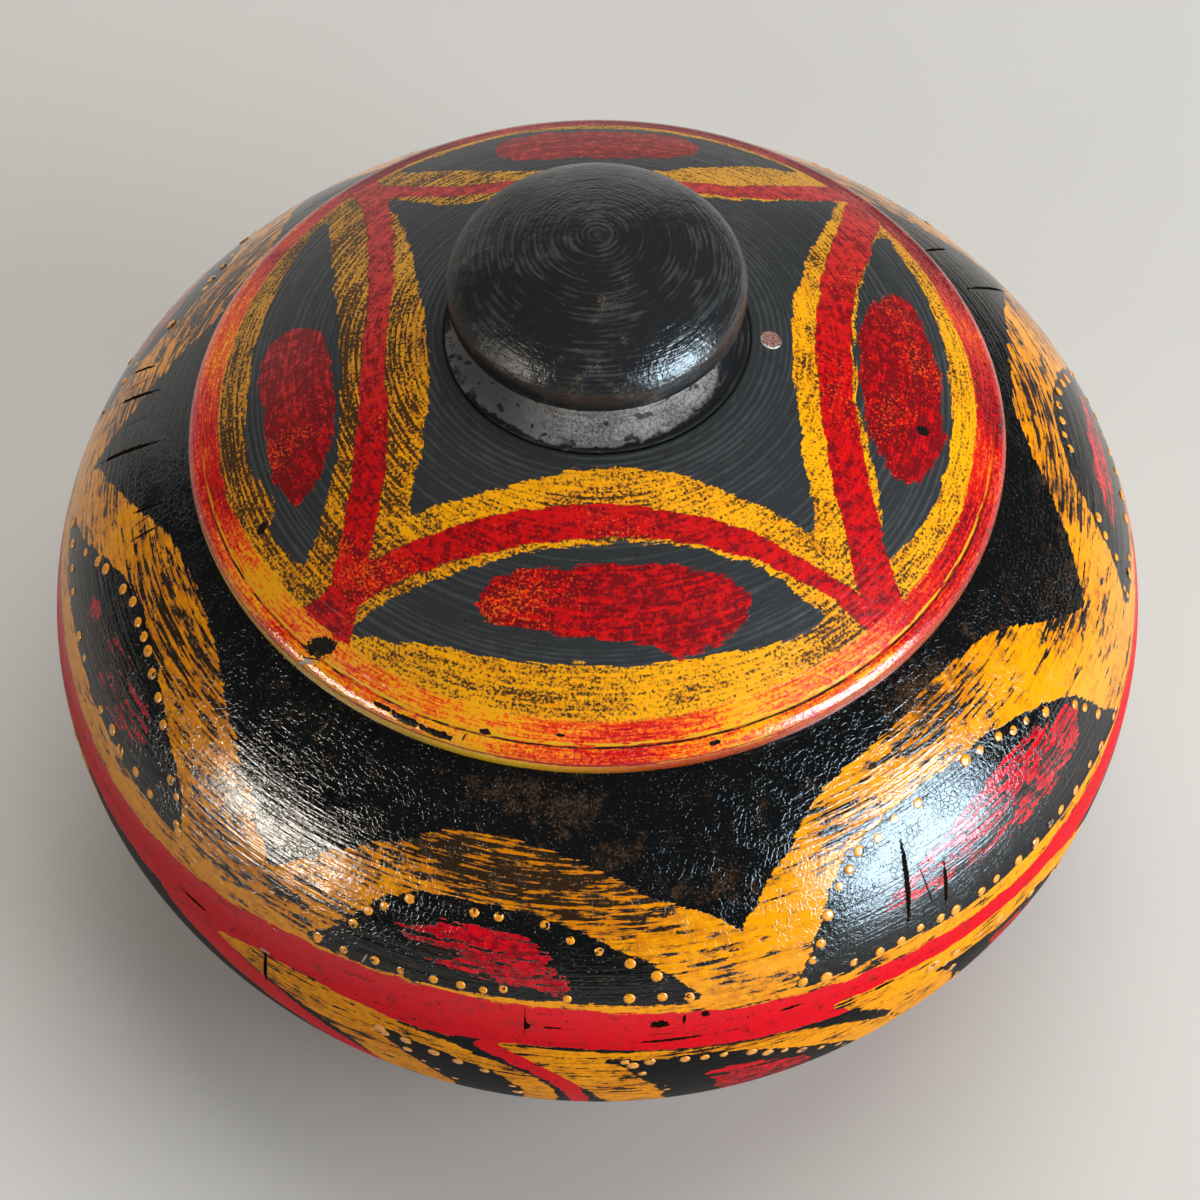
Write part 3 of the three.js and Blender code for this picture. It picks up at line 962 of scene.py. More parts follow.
# Pale chips, and the pale painted highlight on the top of a crack
PALE_CHIP_AND_HIGHLIGHT = colour(168, 156, 134)
WOOD = colour(150, 104, 62)
WOOD_DARK = colour(104, 66, 38)
SCUFF_DARK = colour(58, 46, 36)
SCUFF_PALE = colour(112, 94, 72)
GREY_DARK = colour(86, 82, 80)
GREY_PALE = colour(158, 154, 151)
GREY_EVEN = colour(104, 101, 101)
PEG_DARK = colour(84, 50, 44)
PEG_PALE = colour(150, 112, 100)
PEG_WORN = colour(206, 200, 190)
FLOOR_DARK = colour(186, 183, 178)
FLOOR_PALE = colour(194, 191, 186)

# In each look, one key gives how much painted sheen the back gets, standing in for reflected haze, and
# another how much painted sheen the turning ridges get
BODY_LOOK = {
    "black": BLACK, "gap": BROWN_BLACK, "ridge_sheen_share": 0.0, "yellow": BODY_YELLOW, "amber": BODY_AMBER,
    "red": BODY_RED, "deep": BODY_DEEP_RED, "streak_size": 1.1, "speck_size": 0.9, "streak_share": 0.8,
    "fleck_share": 1.5, "speck_share": 0.5, "patch_share": 0.6, "groove_share": 0.24, "worn_from": 0.22,
    "worn_over": 0.035, "red_worn_from": 0.36, "orange_from": 2.0, "edge_reach": 2.2, "roughness": 0.36,
    "specular": 0.0, "painted_sheen": 0.2, "deep_from": 0.55, "grain": 0.09, "paint_grain": 0.08,
    "streak_depth": 0.19, "crease": 0.034, "brown_from": 1.14,
}
LID_LOOK = {
    "black": LID_BLACK, "gap": LID_GAP, "ridge_sheen_share": 0.32, "yellow": LID_YELLOW, "amber": LID_AMBER,
    "red": LID_RED, "deep": LID_DEEP_RED, "streak_size": 0.8, "speck_size": 0.75, "streak_share": 0.4,
    "fleck_share": 0.4, "speck_share": 1.3, "patch_share": 0.4, "groove_share": 0.16, "worn_from": 0.09,
    "worn_over": 0.06, "red_worn_from": 0.42, "orange_from": 0.15, "edge_reach": 2.2, "roughness": 0.55,
    "specular": 0.06, "painted_sheen": 0.75, "deep_from": 0.47, "grain": 0.1, "paint_grain": 0.14,
    "streak_depth": 0.08, "crease": 0.012, "brown_from": 1.16,
}

# Over how much the paint's edge, the brown specks, the deeper red and the orange come in
PAINT_SOFT = 0.1
BROWN_OVER = 0.05
DEEP_OVER = 0.13
ORANGE_OVER = 0.08

WOOD_ROUGH = 0.6

# Painted sheen: the paint turns paler and greyer from the front of the pot to the back, between these two
# places, standing in for a haze of reflected light
SHEEN_FROM = -30.0
SHEEN_TO = 70.0

# The body's coat is thin below the one height and thick above the other. The lid's is thick on its rim only.
COAT_IOR = 1.5
COAT_THIN = 116.0
COAT_THICK = 140.0
COAT_LOW = 0.2
BODY_COAT_ROUGH = 0.035
LID_COAT = 0.35
LID_COAT_ROUGH = 0.16
RIM_COAT_ROUGH = 0.06
RIM_ROUGH = 0.22
WEAR_SHARES = ("streak_share", "fleck_share", "speck_share", "patch_share", "groove_share")


def paint(finish, look, name, ragged, wear, worn_from):
    """Where a paint was laid, and how much of it still shows."""
    laid = finish.ramp(finish.math("ADD", finish.kept(name), ragged), PAINT_SOFT, -PAINT_SOFT)
    worn = finish.ramp(wear, look[worn_from], look[worn_from] + look["worn_over"])
    return laid, finish.times(laid, finish.rest(worn))


def painted_finish(name, look, extra):
    """Black lacquer with yellow and red paint over it, worn in specks and in streaks along the turning, with
    painted sheen on its ridges and towards the back.
    """
    finish = Finish(name)
    relief = finish.kept("relief")
    groove = finish.rest(relief)
    dirt = finish.kept("dirt")
    worn_here = finish.kept("worn")
    # Painted sheen: towards the back the paint is mixed with paler colours, standing in for a haze of
    # reflected light
    away = finish.total((finish.part(finish.place, "Y"), 1.0), (finish.part(finish.place, "X"), -0.3))
    painted_sheen = finish.ramp(away, SHEEN_FROM, SHEEN_TO, 0.0, look["painted_sheen"])
    shorter = finish.node("ShaderNodeVectorMath", {0: finish.lathe, 1: (4.0, 4.0, 1.0)}, operation="MULTIPLY")
    streak = finish.noise(finish.lathe, look["streak_size"], 2.0, 0.55)
    fleck = finish.noise(shorter, 1.7, 3.0, 0.6, 13.0)
    scratch = finish.noise(finish.lathe, 0.45, 2.0, 0.6, 41.0)
    speck = finish.noise(finish.place, look["speck_size"], 3.0, 0.65, 7.0)
    grain = finish.noise(finish.place, 1.1, 3.0, 0.6, 3.0)
    grit = finish.noise(finish.place, 0.6, 1.0, 0.5, 91.0)
    patch = finish.noise(finish.place, 24.0, 2.0, 0.5, 31.0)
    blotch = finish.noise(finish.place, 2.6, 4.0, 0.7, 57.0)
    hand = finish.noise(finish.place, 7.0, 2.0, 0.5, 151.0)
    crease = finish.ramp(finish.creases(finish.place, 1.6, 1.3), 0.0, 0.1, 1.0, 0.0)
    crease = finish.times(crease, finish.ramp(hand, 0.4, 0.55))
    reach = look["edge_reach"]
    edge = finish.total((streak, reach), (scratch, 0.7 * reach), (speck, 0.6 * reach), (hand, 1.4 * reach),
                        (1.0, -1.85 * reach))
    parts = [(value, look[share]) for value, share in zip((streak, fleck, speck, patch, groove), WEAR_SHARES)]
    wear = finish.total(*parts, (1.0, -sum(look[share] for share in WEAR_SHARES) / 2))

    brown = finish.total((speck, 0.6), (grit, 0.5), (blotch, 0.5), (patch, 0.4), (dirt, 0.06))
    brown = finish.ramp(brown, look["brown_from"], look["brown_from"] + BROWN_OVER)
    dusty = finish.mix(finish.ramp(grit, 0.42, 0.62), SPECK_BROWN, DIRT)
    dusty = finish.mix(finish.ramp(dirt, 0.1, 0.6), SPECK_BROWN, dusty)
    black = finish.mix(brown, look["black"], dusty)
    # Painted sheen: the turning ridges are coloured lighter, standing in for light shining back from them
    ridge_sheen = finish.total((relief, 1.0), (fleck, 0.9), (patch, 0.5), (1.0, -0.7))
    black = finish.mix(finish.ramp(ridge_sheen, 0.5, 1.0, 0.0, look["ridge_sheen_share"]), black, RIDGE_SHEEN)

    lines = finish.total((groove, 0.55), (scratch, 1.3), (1.0, -0.65))
    yellow_wear = finish.total((wear, 1.0), (finish.times(worn_here, lines), 1.0))
    yellow_in, yellow_shown = paint(finish, look, "yellow", edge, yellow_wear, "worn_from")
    deeper = finish.total((blotch, 0.6), (patch, 0.3), (streak, 0.3), (worn_here, 0.16))
    yellow = finish.mix(finish.ramp(deeper, 0.54, 0.76), look["yellow"], look["amber"])
    thin = finish.ramp(yellow_wear, look["worn_from"] - 0.12, look["worn_from"], 0.0, 0.6)
    yellow = finish.mix(thin, yellow, DARK_BROWN)
    yellow = finish.mix(painted_sheen, yellow, SHEEN_YELLOW)
    gap = finish.mix(finish.ramp(worn_here, 0.2, 0.8, 0.0, 0.4), look["gap"], LID_GAP)
    tone = finish.mix(yellow_shown, finish.mix(yellow_in, black, gap), yellow)

    worn_red = finish.kept("worn_red")
    red_wear = finish.total((wear, 1.0), (worn_red, 0.4))
    ragged = finish.times(edge, finish.total((worn_red, 1.2), (1.0, 0.8)))
    red_in, red_shown = paint(finish, look, "red", ragged, red_wear, "red_worn_from")
    red_mottle = finish.total((blotch, 0.5), (speck, 0.3), (streak, 0.2), (groove, 0.06), (worn_red, 0.1))
    mottled = finish.ramp(red_mottle, look["deep_from"], look["deep_from"] + DEEP_OVER)
    red = finish.mix(mottled, look["red"], look["deep"])
    painted_sheen_red = finish.mix(mottled, SHEEN_RED, SHEEN_DEEP_RED)
    warm = finish.total((speck, -1.0), (patch, 0.6), (finish.kept("orange"), 0.12), (1.0, 0.2))
    warm = finish.ramp(warm, look["orange_from"], look["orange_from"] + ORANGE_OVER, 0.0, 0.8)
    red = finish.mix(painted_sheen, finish.mix(warm, red, ORANGE), painted_sheen_red)
    tone = finish.mix(red_shown, finish.mix(red_in, tone, BROWN_BLACK), red)

    shown = finish.math("MAXIMUM", yellow_shown, red_shown)
    rough = finish.total((shown, 0.06), (blotch, 0.16), (1.0, look["roughness"] - 0.1))
    depth = finish.mix_number(shown, look["grain"], look["paint_grain"])
    bead = finish.ramp(grit, 0.66, 0.74, 0.0, 0.06)
    height = finish.total((shown, 0.05), (finish.times(grain, depth), 1.0), (streak, look["streak_depth"]),
                          (fleck, 0.05), (scratch, 0.03), (bead, 1.0), (crease, -look["crease"]))
    tone, rough, height, coat, coat_rough = extra(finish, tone, rough, height)
    finish.give({"Specular IOR Level": look["specular"], "Coat IOR": COAT_IOR})
    return finish.done(tone, rough, height, coat, coat_rough)


def body_extras(finish, tone, rough, height):
    """Dirt, cracks, chips and one painted highlight on the body, bare wood on its inside, and a coat that
    thins towards the foot.
    """
    cloud = finish.noise(finish.place, 4.6, 3.0, 0.6, 191.0)
    speck = finish.noise(finish.place, 0.8, 3.0, 0.7, 211.0)
    dirt = finish.ramp(finish.total((finish.kept("dirt"), 0.2), (cloud, 0.8), (speck, 0.2)), 0.56, 0.76)
    smudge = finish.mix(finish.ramp(speck, 0.42, 0.66), SPECK_BROWN, DIRT)
    tone = finish.mix(finish.times(dirt, 0.7), tone, smudge)
    tone, height, marked = with_marks(finish, tone, height)
    rough = finish.math("ADD", rough, finish.times(dirt, 0.25))
    bare = finish.kept("bare")
    coat = finish.ramp(finish.part(finish.place, "Z"), COAT_THIN, COAT_THICK, COAT_LOW, 1.0)
    coat = finish.mix_number(finish.math("MAXIMUM", bare, marked), coat, 0.0)
    tone, rough = over_bare(finish, bare, tone, rough)
    return tone, rough, height, coat, BODY_COAT_ROUGH


# The lid's rim, in millimetres outward from where the dome meets the bead
RIM_INNER = -6.6
RIM_GROOVE = 0.3
RIM_LINE = 4.5
RIM_UNDER = 4.9
RIM_END = 10.0


def lid_extras(finish, tone, rough, height):
    """The orange and red rim with its dark groove and thin lines, chips, and bare wood underneath."""
    place = finish.kept("rim")
    speck = finish.noise(finish.place, 0.9, 4.0, 0.7, 71.0)
    streak = finish.noise(finish.lathe, 0.5, 3.0, 0.6, 17.0)
    patch = finish.noise(finish.place, 30.0, 1.0, 0.5, 43.0)
    side = finish.part(finish.place, "X")
    ragged = finish.total((place, 1.0), (speck, 3.0), (streak, 4.0), (patch, 3.0), (1.0, -5.0))
    wander = finish.total((place, 1.0), (speck, 0.4), (streak, 0.7), (1.0, -0.55))
    depth = finish.part(finish.place, "Y")
    warm = finish.total((streak, 1.0), (speck, 1.2), (patch, 1.0), (side, -0.0012), (depth, -0.0024))
    # Painted sheen: the rim's red turns paler towards the back, standing in for a haze of reflected light
    rim_red = finish.mix(finish.ramp(depth, -20.0, 60.0), LID_RED, SHEEN_RED)
    mottled = finish.mix(finish.ramp(warm, 1.62, 1.8), rim_red, RIM_ORANGE)
    mottled = finish.mix(finish.ramp(warm, 1.86, 1.94), mottled, LID_YELLOW)
    mottled = finish.mix(finish.ramp(warm, 1.5, 1.38), mottled, LID_DEEP_RED)
    tone = finish.mix(finish.ramp(ragged, RIM_INNER - 0.3, RIM_INNER + 0.3), tone, mottled)

    def line(middle, half, share):
        near = finish.math("ABSOLUTE", finish.total((wander, 1.0), (1.0, -middle)))
        return finish.times(finish.ramp(near, half + 0.12, half - 0.12), share)

    broken = finish.times(finish.ramp(streak, 0.42, 0.48), finish.ramp(depth, 0.0, -50.0))
    left = finish.ramp(side, 20.0, -30.0)
    tone = finish.mix(line(-0.75, 0.35, broken), tone, finish.mix(speck, LID_YELLOW, RIM_GREEN))
    tone = finish.mix(line(0.0, RIM_GROOVE, broken), tone, BROWN_BLACK)
    tone = finish.mix(line(RIM_LINE, 0.22, 0.9), tone, LID_DEEP_RED)
    under = finish.ramp(wander, RIM_UNDER - 0.1, RIM_UNDER + 0.1)
    edge = finish.mix(finish.ramp(speck, 0.4, 0.62), RIM_GREEN, LID_YELLOW)
    tone = finish.mix(under, tone, finish.mix(left, finish.mix(speck, BROWN_BLACK, ORANGE), edge))
    tone = finish.mix(finish.ramp(wander, RIM_END, RIM_END + 0.6), tone, BROWN_BLACK)
    rim = finish.ramp(place, -0.5, 1.0)
    rough = finish.mix_number(rim, rough, RIM_ROUGH)
    tone, height, marked = with_marks(finish, tone, height)
    bare = finish.kept("bare")
    covered = finish.math("MAXIMUM", bare, marked)
    coat = finish.mix_number(covered, finish.mix_number(rim, LID_COAT, 1.0), 0.0)
    coat_rough = finish.mix_number(rim, LID_COAT_ROUGH, RIM_COAT_ROUGH)
    tone, rough = over_bare(finish, bare, tone, rough)
    return tone, rough, height, coat, coat_rough


def with_marks(finish, tone, height):
    """Cracks and chips, dark or pale, and a pale painted highlight, sunk a little into the paint, and where
    they are.
    """
    mark = finish.node("ShaderNodeAttribute", {}, "Vector", attribute_name="mark")
    ragged = finish.noise(finish.place, 0.9, 3.0, 0.6, 23.0)
    across, along, kind = (finish.part(mark, axis) for axis in "XYZ")
    far = finish.math("ADD", finish.times(across, across), finish.times(along, along))
    far = finish.total((finish.math("SQRT", far), 1.0), (ragged, 1.6), (1.0, -0.8))
    inside = finish.ramp(far, 1.06, 0.9)
    pale = finish.ramp(kind, 0.5, 0.2)
    deep = finish.ramp(kind, 1.4, 1.7)
    tone = finish.mix(inside, tone, finish.mix(pale, BROWN_BLACK, PALE_CHIP_AND_HIGHLIGHT))
    sunk = finish.times(inside, finish.math("ADD", 0.12, finish.times(deep, 0.8)))
    return tone, finish.math("SUBTRACT", height, sunk), inside


def bare_wood(finish):
    """Turned wood, with the grain across and the marks of the tool round."""
    grain = finish.node("ShaderNodeVectorMath", {0: finish.place, 1: (0.06, 0.9, 0.5)}, operation="MULTIPLY")
    lines = finish.noise(grain, 1.4, 4.0, 0.65, 11.0)
    rings = finish.noise(finish.lathe, 1.2, 2.0, 0.5, 5.0)
    return finish.mix(finish.ramp(finish.total((lines, 0.8), (rings, 0.2)), 0.35, 0.65), WOOD_DARK, WOOD)


def over_bare(finish, bare, tone, rough):
    """Bare wood where there is no lacquer, and the lacquer's own colour and roughness elsewhere."""
    return finish.mix(bare, tone, bare_wood(finish)), finish.mix_number(bare, rough, WOOD_ROUGH)


def knob_finish():
    """Glossy black with faint rings of painted sheen and a few ochre scuffs, dull under the lip, over a
    ragged grey neck.
    """
    finish = Finish("knob_lacquer")
    relief = finish.kept("relief")
    speck = finish.noise(finish.place, 0.7, 3.0, 0.7, 7.0)
    grain = finish.noise(finish.place, 0.9, 3.0, 0.6, 3.0)
    blotch = finish.noise(finish.place, 5.0, 3.0, 0.6, 57.0)
    cloud = finish.noise(finish.place, 14.0, 2.0, 0.5, 63.0)
    streak = finish.noise(finish.lathe, 0.8, 3.0, 0.6)
    side = finish.part(finish.place, "X")
    depth = finish.part(finish.place, "Y")
    # Painted sheen: the cap's turning rings are coloured lighter, standing in for light shining back from
    # them
    ring = finish.total((relief, 0.6), (streak, 1.5), (cloud, 1.4), (blotch, 0.6), (1.0, -1.55))
    black = finish.mix(finish.ramp(ring, 0.5, 1.0, 0.0, 0.34), KNOB_BLACK, RIDGE_SHEEN)
    front = finish.total((depth, -0.003), (side, -0.0016))
    scuffs = finish.total((speck, 0.6), (blotch, 0.8), (cloud, 0.3), (front, 1.0))
    scuff_tone = finish.mix(finish.ramp(speck, 0.4, 0.65), SCUFF_DARK, SCUFF_PALE)
    tone = finish.mix(finish.ramp(scuffs, 1.04, 1.18, 0.0, 0.6), black, scuff_tone)
    edge = finish.total((blotch, 5.0), (speck, 3.0), (1.0, -4.0))
    grey_in = finish.ramp(finish.math("ADD", finish.kept("grey"), edge), 0.4, -0.6)
    spots = finish.ramp(finish.noise(finish.place, 3.2, 1.0, 0.5, 77.0), 0.64, 0.68)
    grey_in = finish.times(grey_in, finish.rest(finish.times(spots, 0.85)))
    salt = finish.total((speck, 0.7), (streak, 0.3), (cloud, 0.3))
    salt = finish.mix(finish.ramp(salt, 0.5, 0.82), GREY_DARK, GREY_PALE)
    grey = finish.mix(finish.ramp(side, -24.0, -6.0), GREY_EVEN, salt)
    tone = finish.mix(grey_in, tone, grey)
    dull = finish.math("MAXIMUM", grey_in, finish.kept("dull"))
    scuffed = finish.ramp(side, -6.0, -24.0)
    rough = finish.total((dull, 0.4), (scuffed, 0.2), (blotch, 0.16), (relief, 0.05), (1.0, 0.06))
    height = finish.total((grain, 0.14), (streak, 0.2), (blotch, 0.5), (finish.times(speck, dull), 0.14))
    shine = finish.total((dull, -0.5), (scuffed, -0.34), (1.0, 0.55))
    finish.give({"Specular IOR Level": finish.math("MAXIMUM", shine, 0.04)})
    return finish.done(tone, rough, height)


def peg_finish():
    """End grain of a small reddish brown plug, with a pale worn edge."""
    finish = Finish("peg_wood")
    speck = finish.noise(finish.place, 0.6, 3.0, 0.6)
    tone = finish.mix(finish.ramp(speck, 0.35, 0.65), PEG_DARK, PEG_PALE)
    worn = finish.total((finish.kept("rim"), 1.0), (speck, 0.9), (finish.part(finish.place, "Y"), -0.06))
    tone = finish.mix(finish.ramp(worn, 1.5, 1.62), tone, PEG_WORN)
    return finish.done(tone, 0.55, finish.total((speck, 0.16)))


def dot_finish():
    """A dome of yellow paint, with dark hollows in some."""
    finish = Finish("dot_paint")
    speck = finish.noise(finish.place, 0.9, 3.0, 0.6)
    hollow = finish.noise(finish.place, 2.4, 1.0, 0.5, 19.0)
    tone = finish.mix(finish.ramp(speck, 0.45, 0.7), BODY_YELLOW, BODY_AMBER)
    tone = finish.mix(finish.ramp(finish.total((speck, 0.6), (hollow, 1.0)), 0.93, 0.98), tone, BROWN_BLACK)
    finish.give({"Specular IOR Level": 0.3})
    return finish.done(tone, 0.3, finish.total((speck, 0.14)), 0.6, 0.08)


def floor_finish():
    """A plain pale floor, with the faintest unevenness."""
    finish = Finish("pale_floor")
    cloud = finish.noise(finish.place, 160.0, 2.0, 0.5)
    tone = finish.mix(cloud, FLOOR_DARK, FLOOR_PALE)
    finish.give({"Specular IOR Level": 0.1})
    return finish.done(tone, 0.7, finish.total((cloud, 0.02)))


def facing(way):
    """The turn that points a shape's Z axis along a way."""
    return way.to_track_quat("Z", "Y").to_matrix().to_4x4()


def riding(piece, node, body, finish):
    """Puts a piece in a CAD node's place, with its finish."""
    piece.data.materials.append(finish)
    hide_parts(node)
    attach(piece, body)


# Bare wood shows below UNDERSIDE. Turning marks are cut from RING_MARGIN above the widest ring, from
# CUT_MARGIN out of the lid's land, and from CAP_MARGIN above the cap's edge and out from its middle.
UNDERSIDE = 0.5
RING_MARGIN = 4
CUT_MARGIN = 0.5
CAP_MARGIN = 1


def make_body():
    """The painted body, with turning marks above its widest ring."""
    profile, outer_length = body_profile()
    piece = spun("body_skin", profile, BODY_STEPS)
    skin = Skin(piece)
    skin.outer_length = outer_length
    for name, values in body_paint(skin).items():
        skin.keep(name, values)
    skin.keep("dirt", placed(skin.turn, skin.height, DIRT_PLACES))
    skin.keep("worn", placed(skin.turn, skin.height, WORN_PLACES))
    skin.keep("orange", np.zeros(len(skin.turn)))
    outer = skin.along < outer_length
    skin.keep("bare", np.where(outer & (skin.height > UNDERSIDE), 0, 1))
    across = [wrapped(skin.turn - mark[0]) * np.radians(1) * skin.radius for mark in BODY_MARKS]
    up = [skin.height - mark[1] for mark in BODY_MARKS]
    keep_marks(skin, BODY_MARKS, across, up)
    turned(skin, BODY_TURNING, outer & (skin.height > WIDEST_HEIGHT + RING_MARGIN))
    riding(piece, "pot_body", "pot", painted_finish("body_lacquer", BODY_LOOK, body_extras))


def body_outside():
    """The part of the body's profile that is its outside."""
    profile, outer_length = body_profile()
    return profile[:np.searchsorted(np.cumsum(step_lengths(profile)), outer_length) + 1]


def on_body(outside, turn, height):
    """A place on the body's outside, from a turn in radians and a height, and the way out from it."""
    at = np.argmin(np.abs(outside[FOOT_POINTS:, 1] - height)) + FOOT_POINTS
    slope = outside[min(at + 1, len(outside) - 1)] - outside[at - 1]
    out = Vector((slope[1] * math.cos(turn), slope[1] * math.sin(turn), -slope[0])).normalized()
    reach = outside[at, 0]
    return Vector((reach * math.cos(turn), reach * math.sin(turn), height)), out


def dot_places():
    """Centre, way out and radius of each dot, along the insides of the leaves' edges."""
    rng = np.random.default_rng(DOT_SEED)
    outside = body_outside()
    dots = []
    leaves = [arch["leaf"] for arch in all_arches()] + [petal["leaf"] for petal in all_petals()]
    for leaf in leaves:
        line = softly(leaf, closed=True)
        flat = line * np.array([TURN_LENGTH, BELLY_STRETCH])
        steps = np.roll(flat, -1, axis=0) - flat
        lengths = so_far(np.hypot(*steps.T))
        turned_left = np.stack([-steps[:, 1], steps[:, 0]], 1) / np.hypot(*steps.T)[:, None]
        area = (flat[:, 0] * np.roll(flat[:, 1], -1) - np.roll(flat[:, 0], -1) * flat[:, 1]).sum()
        inward = turned_left * np.sign(area)
        at = rng.uniform(0, DOT_SPACING)
        while at < lengths[-1]:
            i = max(min(np.searchsorted(lengths, at) - 1, len(flat) - 1), 0)
            spot = flat[i] + steps[i] * (at - lengths[i]) / (lengths[i + 1] - lengths[i])
            spot = spot + inward[i] * (DOT_INSET + rng.uniform(-DOT_STRAY, DOT_STRAY))
            turn = math.radians(spot[0] / TURN_LENGTH)
            height = spot[1] / BELLY_STRETCH
            size = rng.uniform(*DOT_RADII)
            kept = rng.uniform() > DOT_GAPS and height > DOT_LOWEST
            at += DOT_SPACING + rng.uniform(-DOT_UNEVEN, DOT_UNEVEN)
            centre, out = on_body(outside, turn, height)
            inside_box = max(abs(centre.x), abs(centre.y)) < WIDEST_RADIUS - DOT_HEIGHT
            if kept and inside_box:
                dots.append((centre, out, size))
    return dots


def make_dots():
    """One small dome of paint, copied to each dot's place."""
    dome = bmesh.new()
    bmesh.ops.create_uvsphere(dome, u_segments=DOT_SIDES, v_segments=DOT_RINGS, radius=1)
    copy = bpy.data.meshes.new("dot")
    dome.to_mesh(copy)
    dome.free()
    shape = bmesh.new()
    for centre, out, size in dot_places():
        scale = Matrix.Diagonal((size * MM, size * MM, DOT_HEIGHT * MM, 1))
        place = Matrix.Translation((centre - out * DOT_SUNK) * MM) @ facing(out) @ scale
        copy.transform(place)
        shape.from_mesh(copy)
        copy.transform(place.inverted())
    bpy.data.meshes.remove(copy)
    piece = stood("body_dots", shape)
    piece.data.materials.append(dot_finish())
    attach(piece, "pot")


# Marks on the lid: (x, y, half width, half length, lean, kind), as on the body
LID_MARKS = (
    (82.2, -16.8, 1.7, 1.4, 0, 2), (-67.6, -74.6, 2.1, 4.0, 107, 1), (-71.4, -77, 0.4, 2.2, 107, 0),
    (-27, -98.5, 0.6, 1.4, -75, 1), (-46, -94, 0.7, 3.8, -64, 1), (-38.5, -97.6, 0.6, 4.4, -68, 1),
    (-52, -90.4, 0.5, 2.8, -60, 1), (-8.8, -100.2, 0.3, 1.3, -85, 1), (28.4, -100.6, 0.5, 1.5, 74, 1),
    (-83.5, -42.5, 1.2, 1.8, 30, 1),
)


def make_lid():
    """The painted lid, with turning marks on its dome."""
    profile, outer_start, bead_end = lid_profile()
    piece = spun("lid_skin", profile, LID_STEPS, closed_line=True)
    skin = Skin(piece)
    skin.outer_start = outer_start
    skin.bead_end = bead_end
    for name, values in lid_paint(skin).items():
        skin.keep(name, values)
    skin.keep("dirt", np.zeros(len(skin.turn)))
    skin.keep("worn", placed(skin.turn, skin.radius, LID_WORN_PLACES))
    skin.keep("bare", np.where(skin.along > outer_start, 0, 1))
    across = [skin.place[:, 0] - mark[0] for mark in LID_MARKS]
    up = [skin.place[:, 1] - mark[1] for mark in LID_MARKS]
    keep_marks(skin, LID_MARKS, across, up)
    dome = (skin.along > bead_end) & (skin.radius < DOME_EDGE) & (skin.radius > LAND_RADIUS + CUT_MARGIN)
    turned(skin, LID_TURNING, dome)
    riding(piece, "lid", "lid_set", painted_finish("lid_lacquer", LID_LOOK, lid_extras))


# How far out the neck's bare grey reaches, as (turn, radius)
NECK_GREY = ((-180, 38.5), (-165, 39), (-150, 38), (-138, 36.5), (-125, 36.6), (-110, 37.2),
             (-90, 36.8), (-70, 36), (-50, 36), (-35, 34.5), (-20, 32.5), (-5, 30), (30, 27),
             (120, 28), (150, 33), (180, 38.5))
GREY_MARGIN = 0.4
DULL_SHARE = 0.3
DULL_OVER = 1.2


def make_knob():
    """The knob, grey on its neck, dull under its lip and with turning marks on its cap."""
    piece = spun("knob_skin", knob_profile(), KNOB_STEPS)
    skin = Skin(piece)
    grey = within(skin.radius - level(skin.turn, NECK_GREY), KNOB_FOOT_TOP - GREY_MARGIN - skin.height,
                  skin.height - (CAP_EDGE - CAP_LIP - GREY_MARGIN))
    skin.keep("grey", grey)
    skin.keep("dull", np.clip((CAP_EDGE - DULL_SHARE * CAP_LIP - skin.height) / DULL_OVER, 0, 1))
    turned(skin, KNOB_TURNING, (skin.height > CAP_EDGE + CAP_MARGIN) & (skin.radius > CAP_MARGIN))
    riding(piece, "knob", "lid_set", knob_finish())


PEG_STEPS = 48
PEG_EDGE = 0.4
PEG_EDGE_POINTS = 8
PEG_EDGE_SPACING = 0.15
PEG_END_SPACING = 0.25
PEG_MIDDLE = 0.2


def make_peg():
    """A small plug with a softly broken edge, in the CAD plug's place on the dome."""
    low, high = peg_box
    middle = (low + high) / 2
    out = Vector((middle.x, middle.y, 0)).normalized()
    lean = math.asin((LAND_RADIUS + PEG_OUT) / DOME_RADIUS)
    way = (out * math.sin(lean) + Vector((0, 0, math.cos(lean)))).normalized()
    flat = PEG_RADIUS - PEG_EDGE
    side = [(0, -PEG_LENGTH), (PEG_RADIUS, -PEG_LENGTH), (PEG_RADIUS, PEG_STAND - PEG_EDGE)]
    edge = arc(flat, PEG_STAND - PEG_EDGE, PEG_EDGE, 0, 90, PEG_EDGE_POINTS)
    end = [(flat, PEG_STAND), (0, PEG_MIDDLE)]
    profile = joined((side, EDGE_SPACING), (edge, PEG_EDGE_SPACING), (end, PEG_END_SPACING))
    piece = spun("peg_skin", profile, PEG_STEPS)
    skin = Skin(piece)
    skin.keep("rim", np.clip(skin.radius / PEG_RADIUS, 0, 1))
    skin.keep_lathe(PEG_STREAK)
    top = Vector((0, 0, DOME_CENTRE * MM)) + way * DOME_RADIUS * MM
    piece.data.transform(Matrix.Translation(top) @ facing(way))
    riding(piece, "lid_peg", "lid_set", peg_finish())


FLOOR_REACH = 6


def make_floor():
    """A plain floor, FLOOR_REACH metres out from the pot."""
    shape = bmesh.new()
    bmesh.ops.create_grid(shape, x_segments=2, y_segments=2, size=FLOOR_REACH)
    floor = stood("floor", shape)
    floor.data.materials.append(floor_finish())


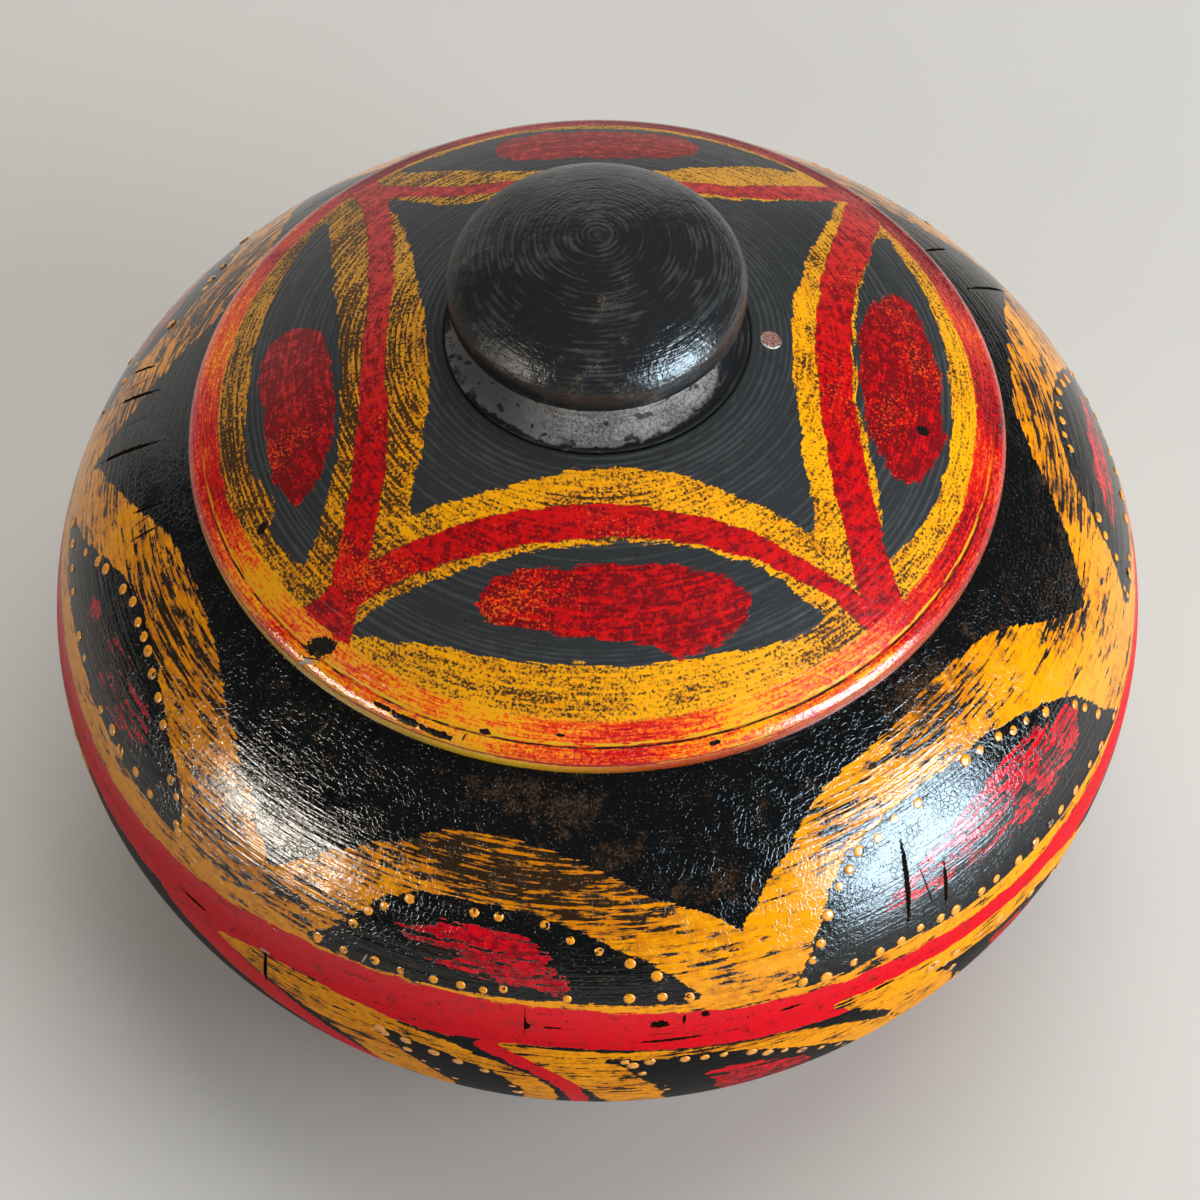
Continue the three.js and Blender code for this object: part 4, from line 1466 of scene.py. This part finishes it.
# Each light, in metres: name, what sees it, where it stands, what it points at, its sides, power and colour.
# A soft light only brightens surfaces, and a glint only shines back from glossy ones.
LIGHTS = (
    ("window", "soft", (1.02, -0.54, 0.54), (0.05, -0.03, 0.12), (0.8, 1.0), 20, (0.88, 0.95, 1.0)),
    ("window_glint", "glint", (0.98, -0.66, 0.38), (0.08, -0.1, 0.14), (0.6, 0.66), 37, (0.66, 0.85, 1.0)),
    ("lamp_glint", "glint", (-0.98, -0.62, 0.4), (-0.08, -0.08, 0.14), (0.55, 0.24), 13, (1.0, 0.92, 0.8)),
    ("front", "soft", (-0.2, -1.6, 1.0), (0, 0, 0.1), (1.5, 1.0), 8, (1.0, 0.98, 0.94)),
    ("wall", "soft", (-0.3, 1.6, 0.9), (0, 0, 0.15), (2.6, 1.3), 20, (1.0, 0.99, 0.97)),
    ("wall_glint", "glint", (-0.5, 1.6, 0.5), (0, 0, 0.15), (2.6, 1.0), 5.0, (1.0, 0.99, 0.97)),
    ("ceiling", "soft", (0.3, 0.3, 2.2), (0, 0, 0.1), (1.6, 1.2), 30, (1.0, 0.99, 0.97)),
)
WORLD_TONE = (0.80, 0.80, 0.79, 1.0)
WORLD_STRENGTH = 0.1


def aimed(thing, place, aim):
    """Stands a light or camera at a place and points it."""
    thing.location = place
    thing.rotation_euler = (Vector(aim) - Vector(place)).to_track_quat("-Z", "Y").to_euler()


def make_lights():
    """The studio's soft lights, their glints and a faint even light from all round."""
    for name, kind, place, aim, size, power, tone in LIGHTS:
        light = bpy.data.lights.new(name, "AREA")
        light.shape = "RECTANGLE"
        light.size, light.size_y = size
        light.energy = power
        light.color = tone
        holder = linked(name, light)
        holder.visible_glossy = kind == "glint"
        holder.visible_diffuse = kind == "soft"
        aimed(holder, place, aim)
    world = bpy.data.worlds.new("studio")
    world.use_nodes = True
    world.node_tree.nodes["Background"].inputs["Color"].default_value = WORLD_TONE
    world.node_tree.nodes["Background"].inputs["Strength"].default_value = WORLD_STRENGTH
    bpy.context.scene.world = world


def make_camera():
    """A long lens, looking down at the pot from in front."""
    lens = bpy.data.cameras.new("camera")
    lens.lens = LENS
    lens.sensor_width = SENSOR
    camera = linked("camera", lens)
    aim = Vector(CAMERA_AIM) * MM
    rise = math.radians(CAMERA_RISE)
    back = Vector((0, -math.cos(rise), math.sin(rise))) * CAMERA_DISTANCE * MM
    aimed(camera, aim + back, aim)
    bpy.context.scene.camera = camera


bpy.context.scene.view_settings.view_transform = "Standard"
make_camera()
make_lights()
make_floor()
make_body()
make_dots()
make_lid()
make_knob()
make_peg()

bpy.context.view_layer.update()
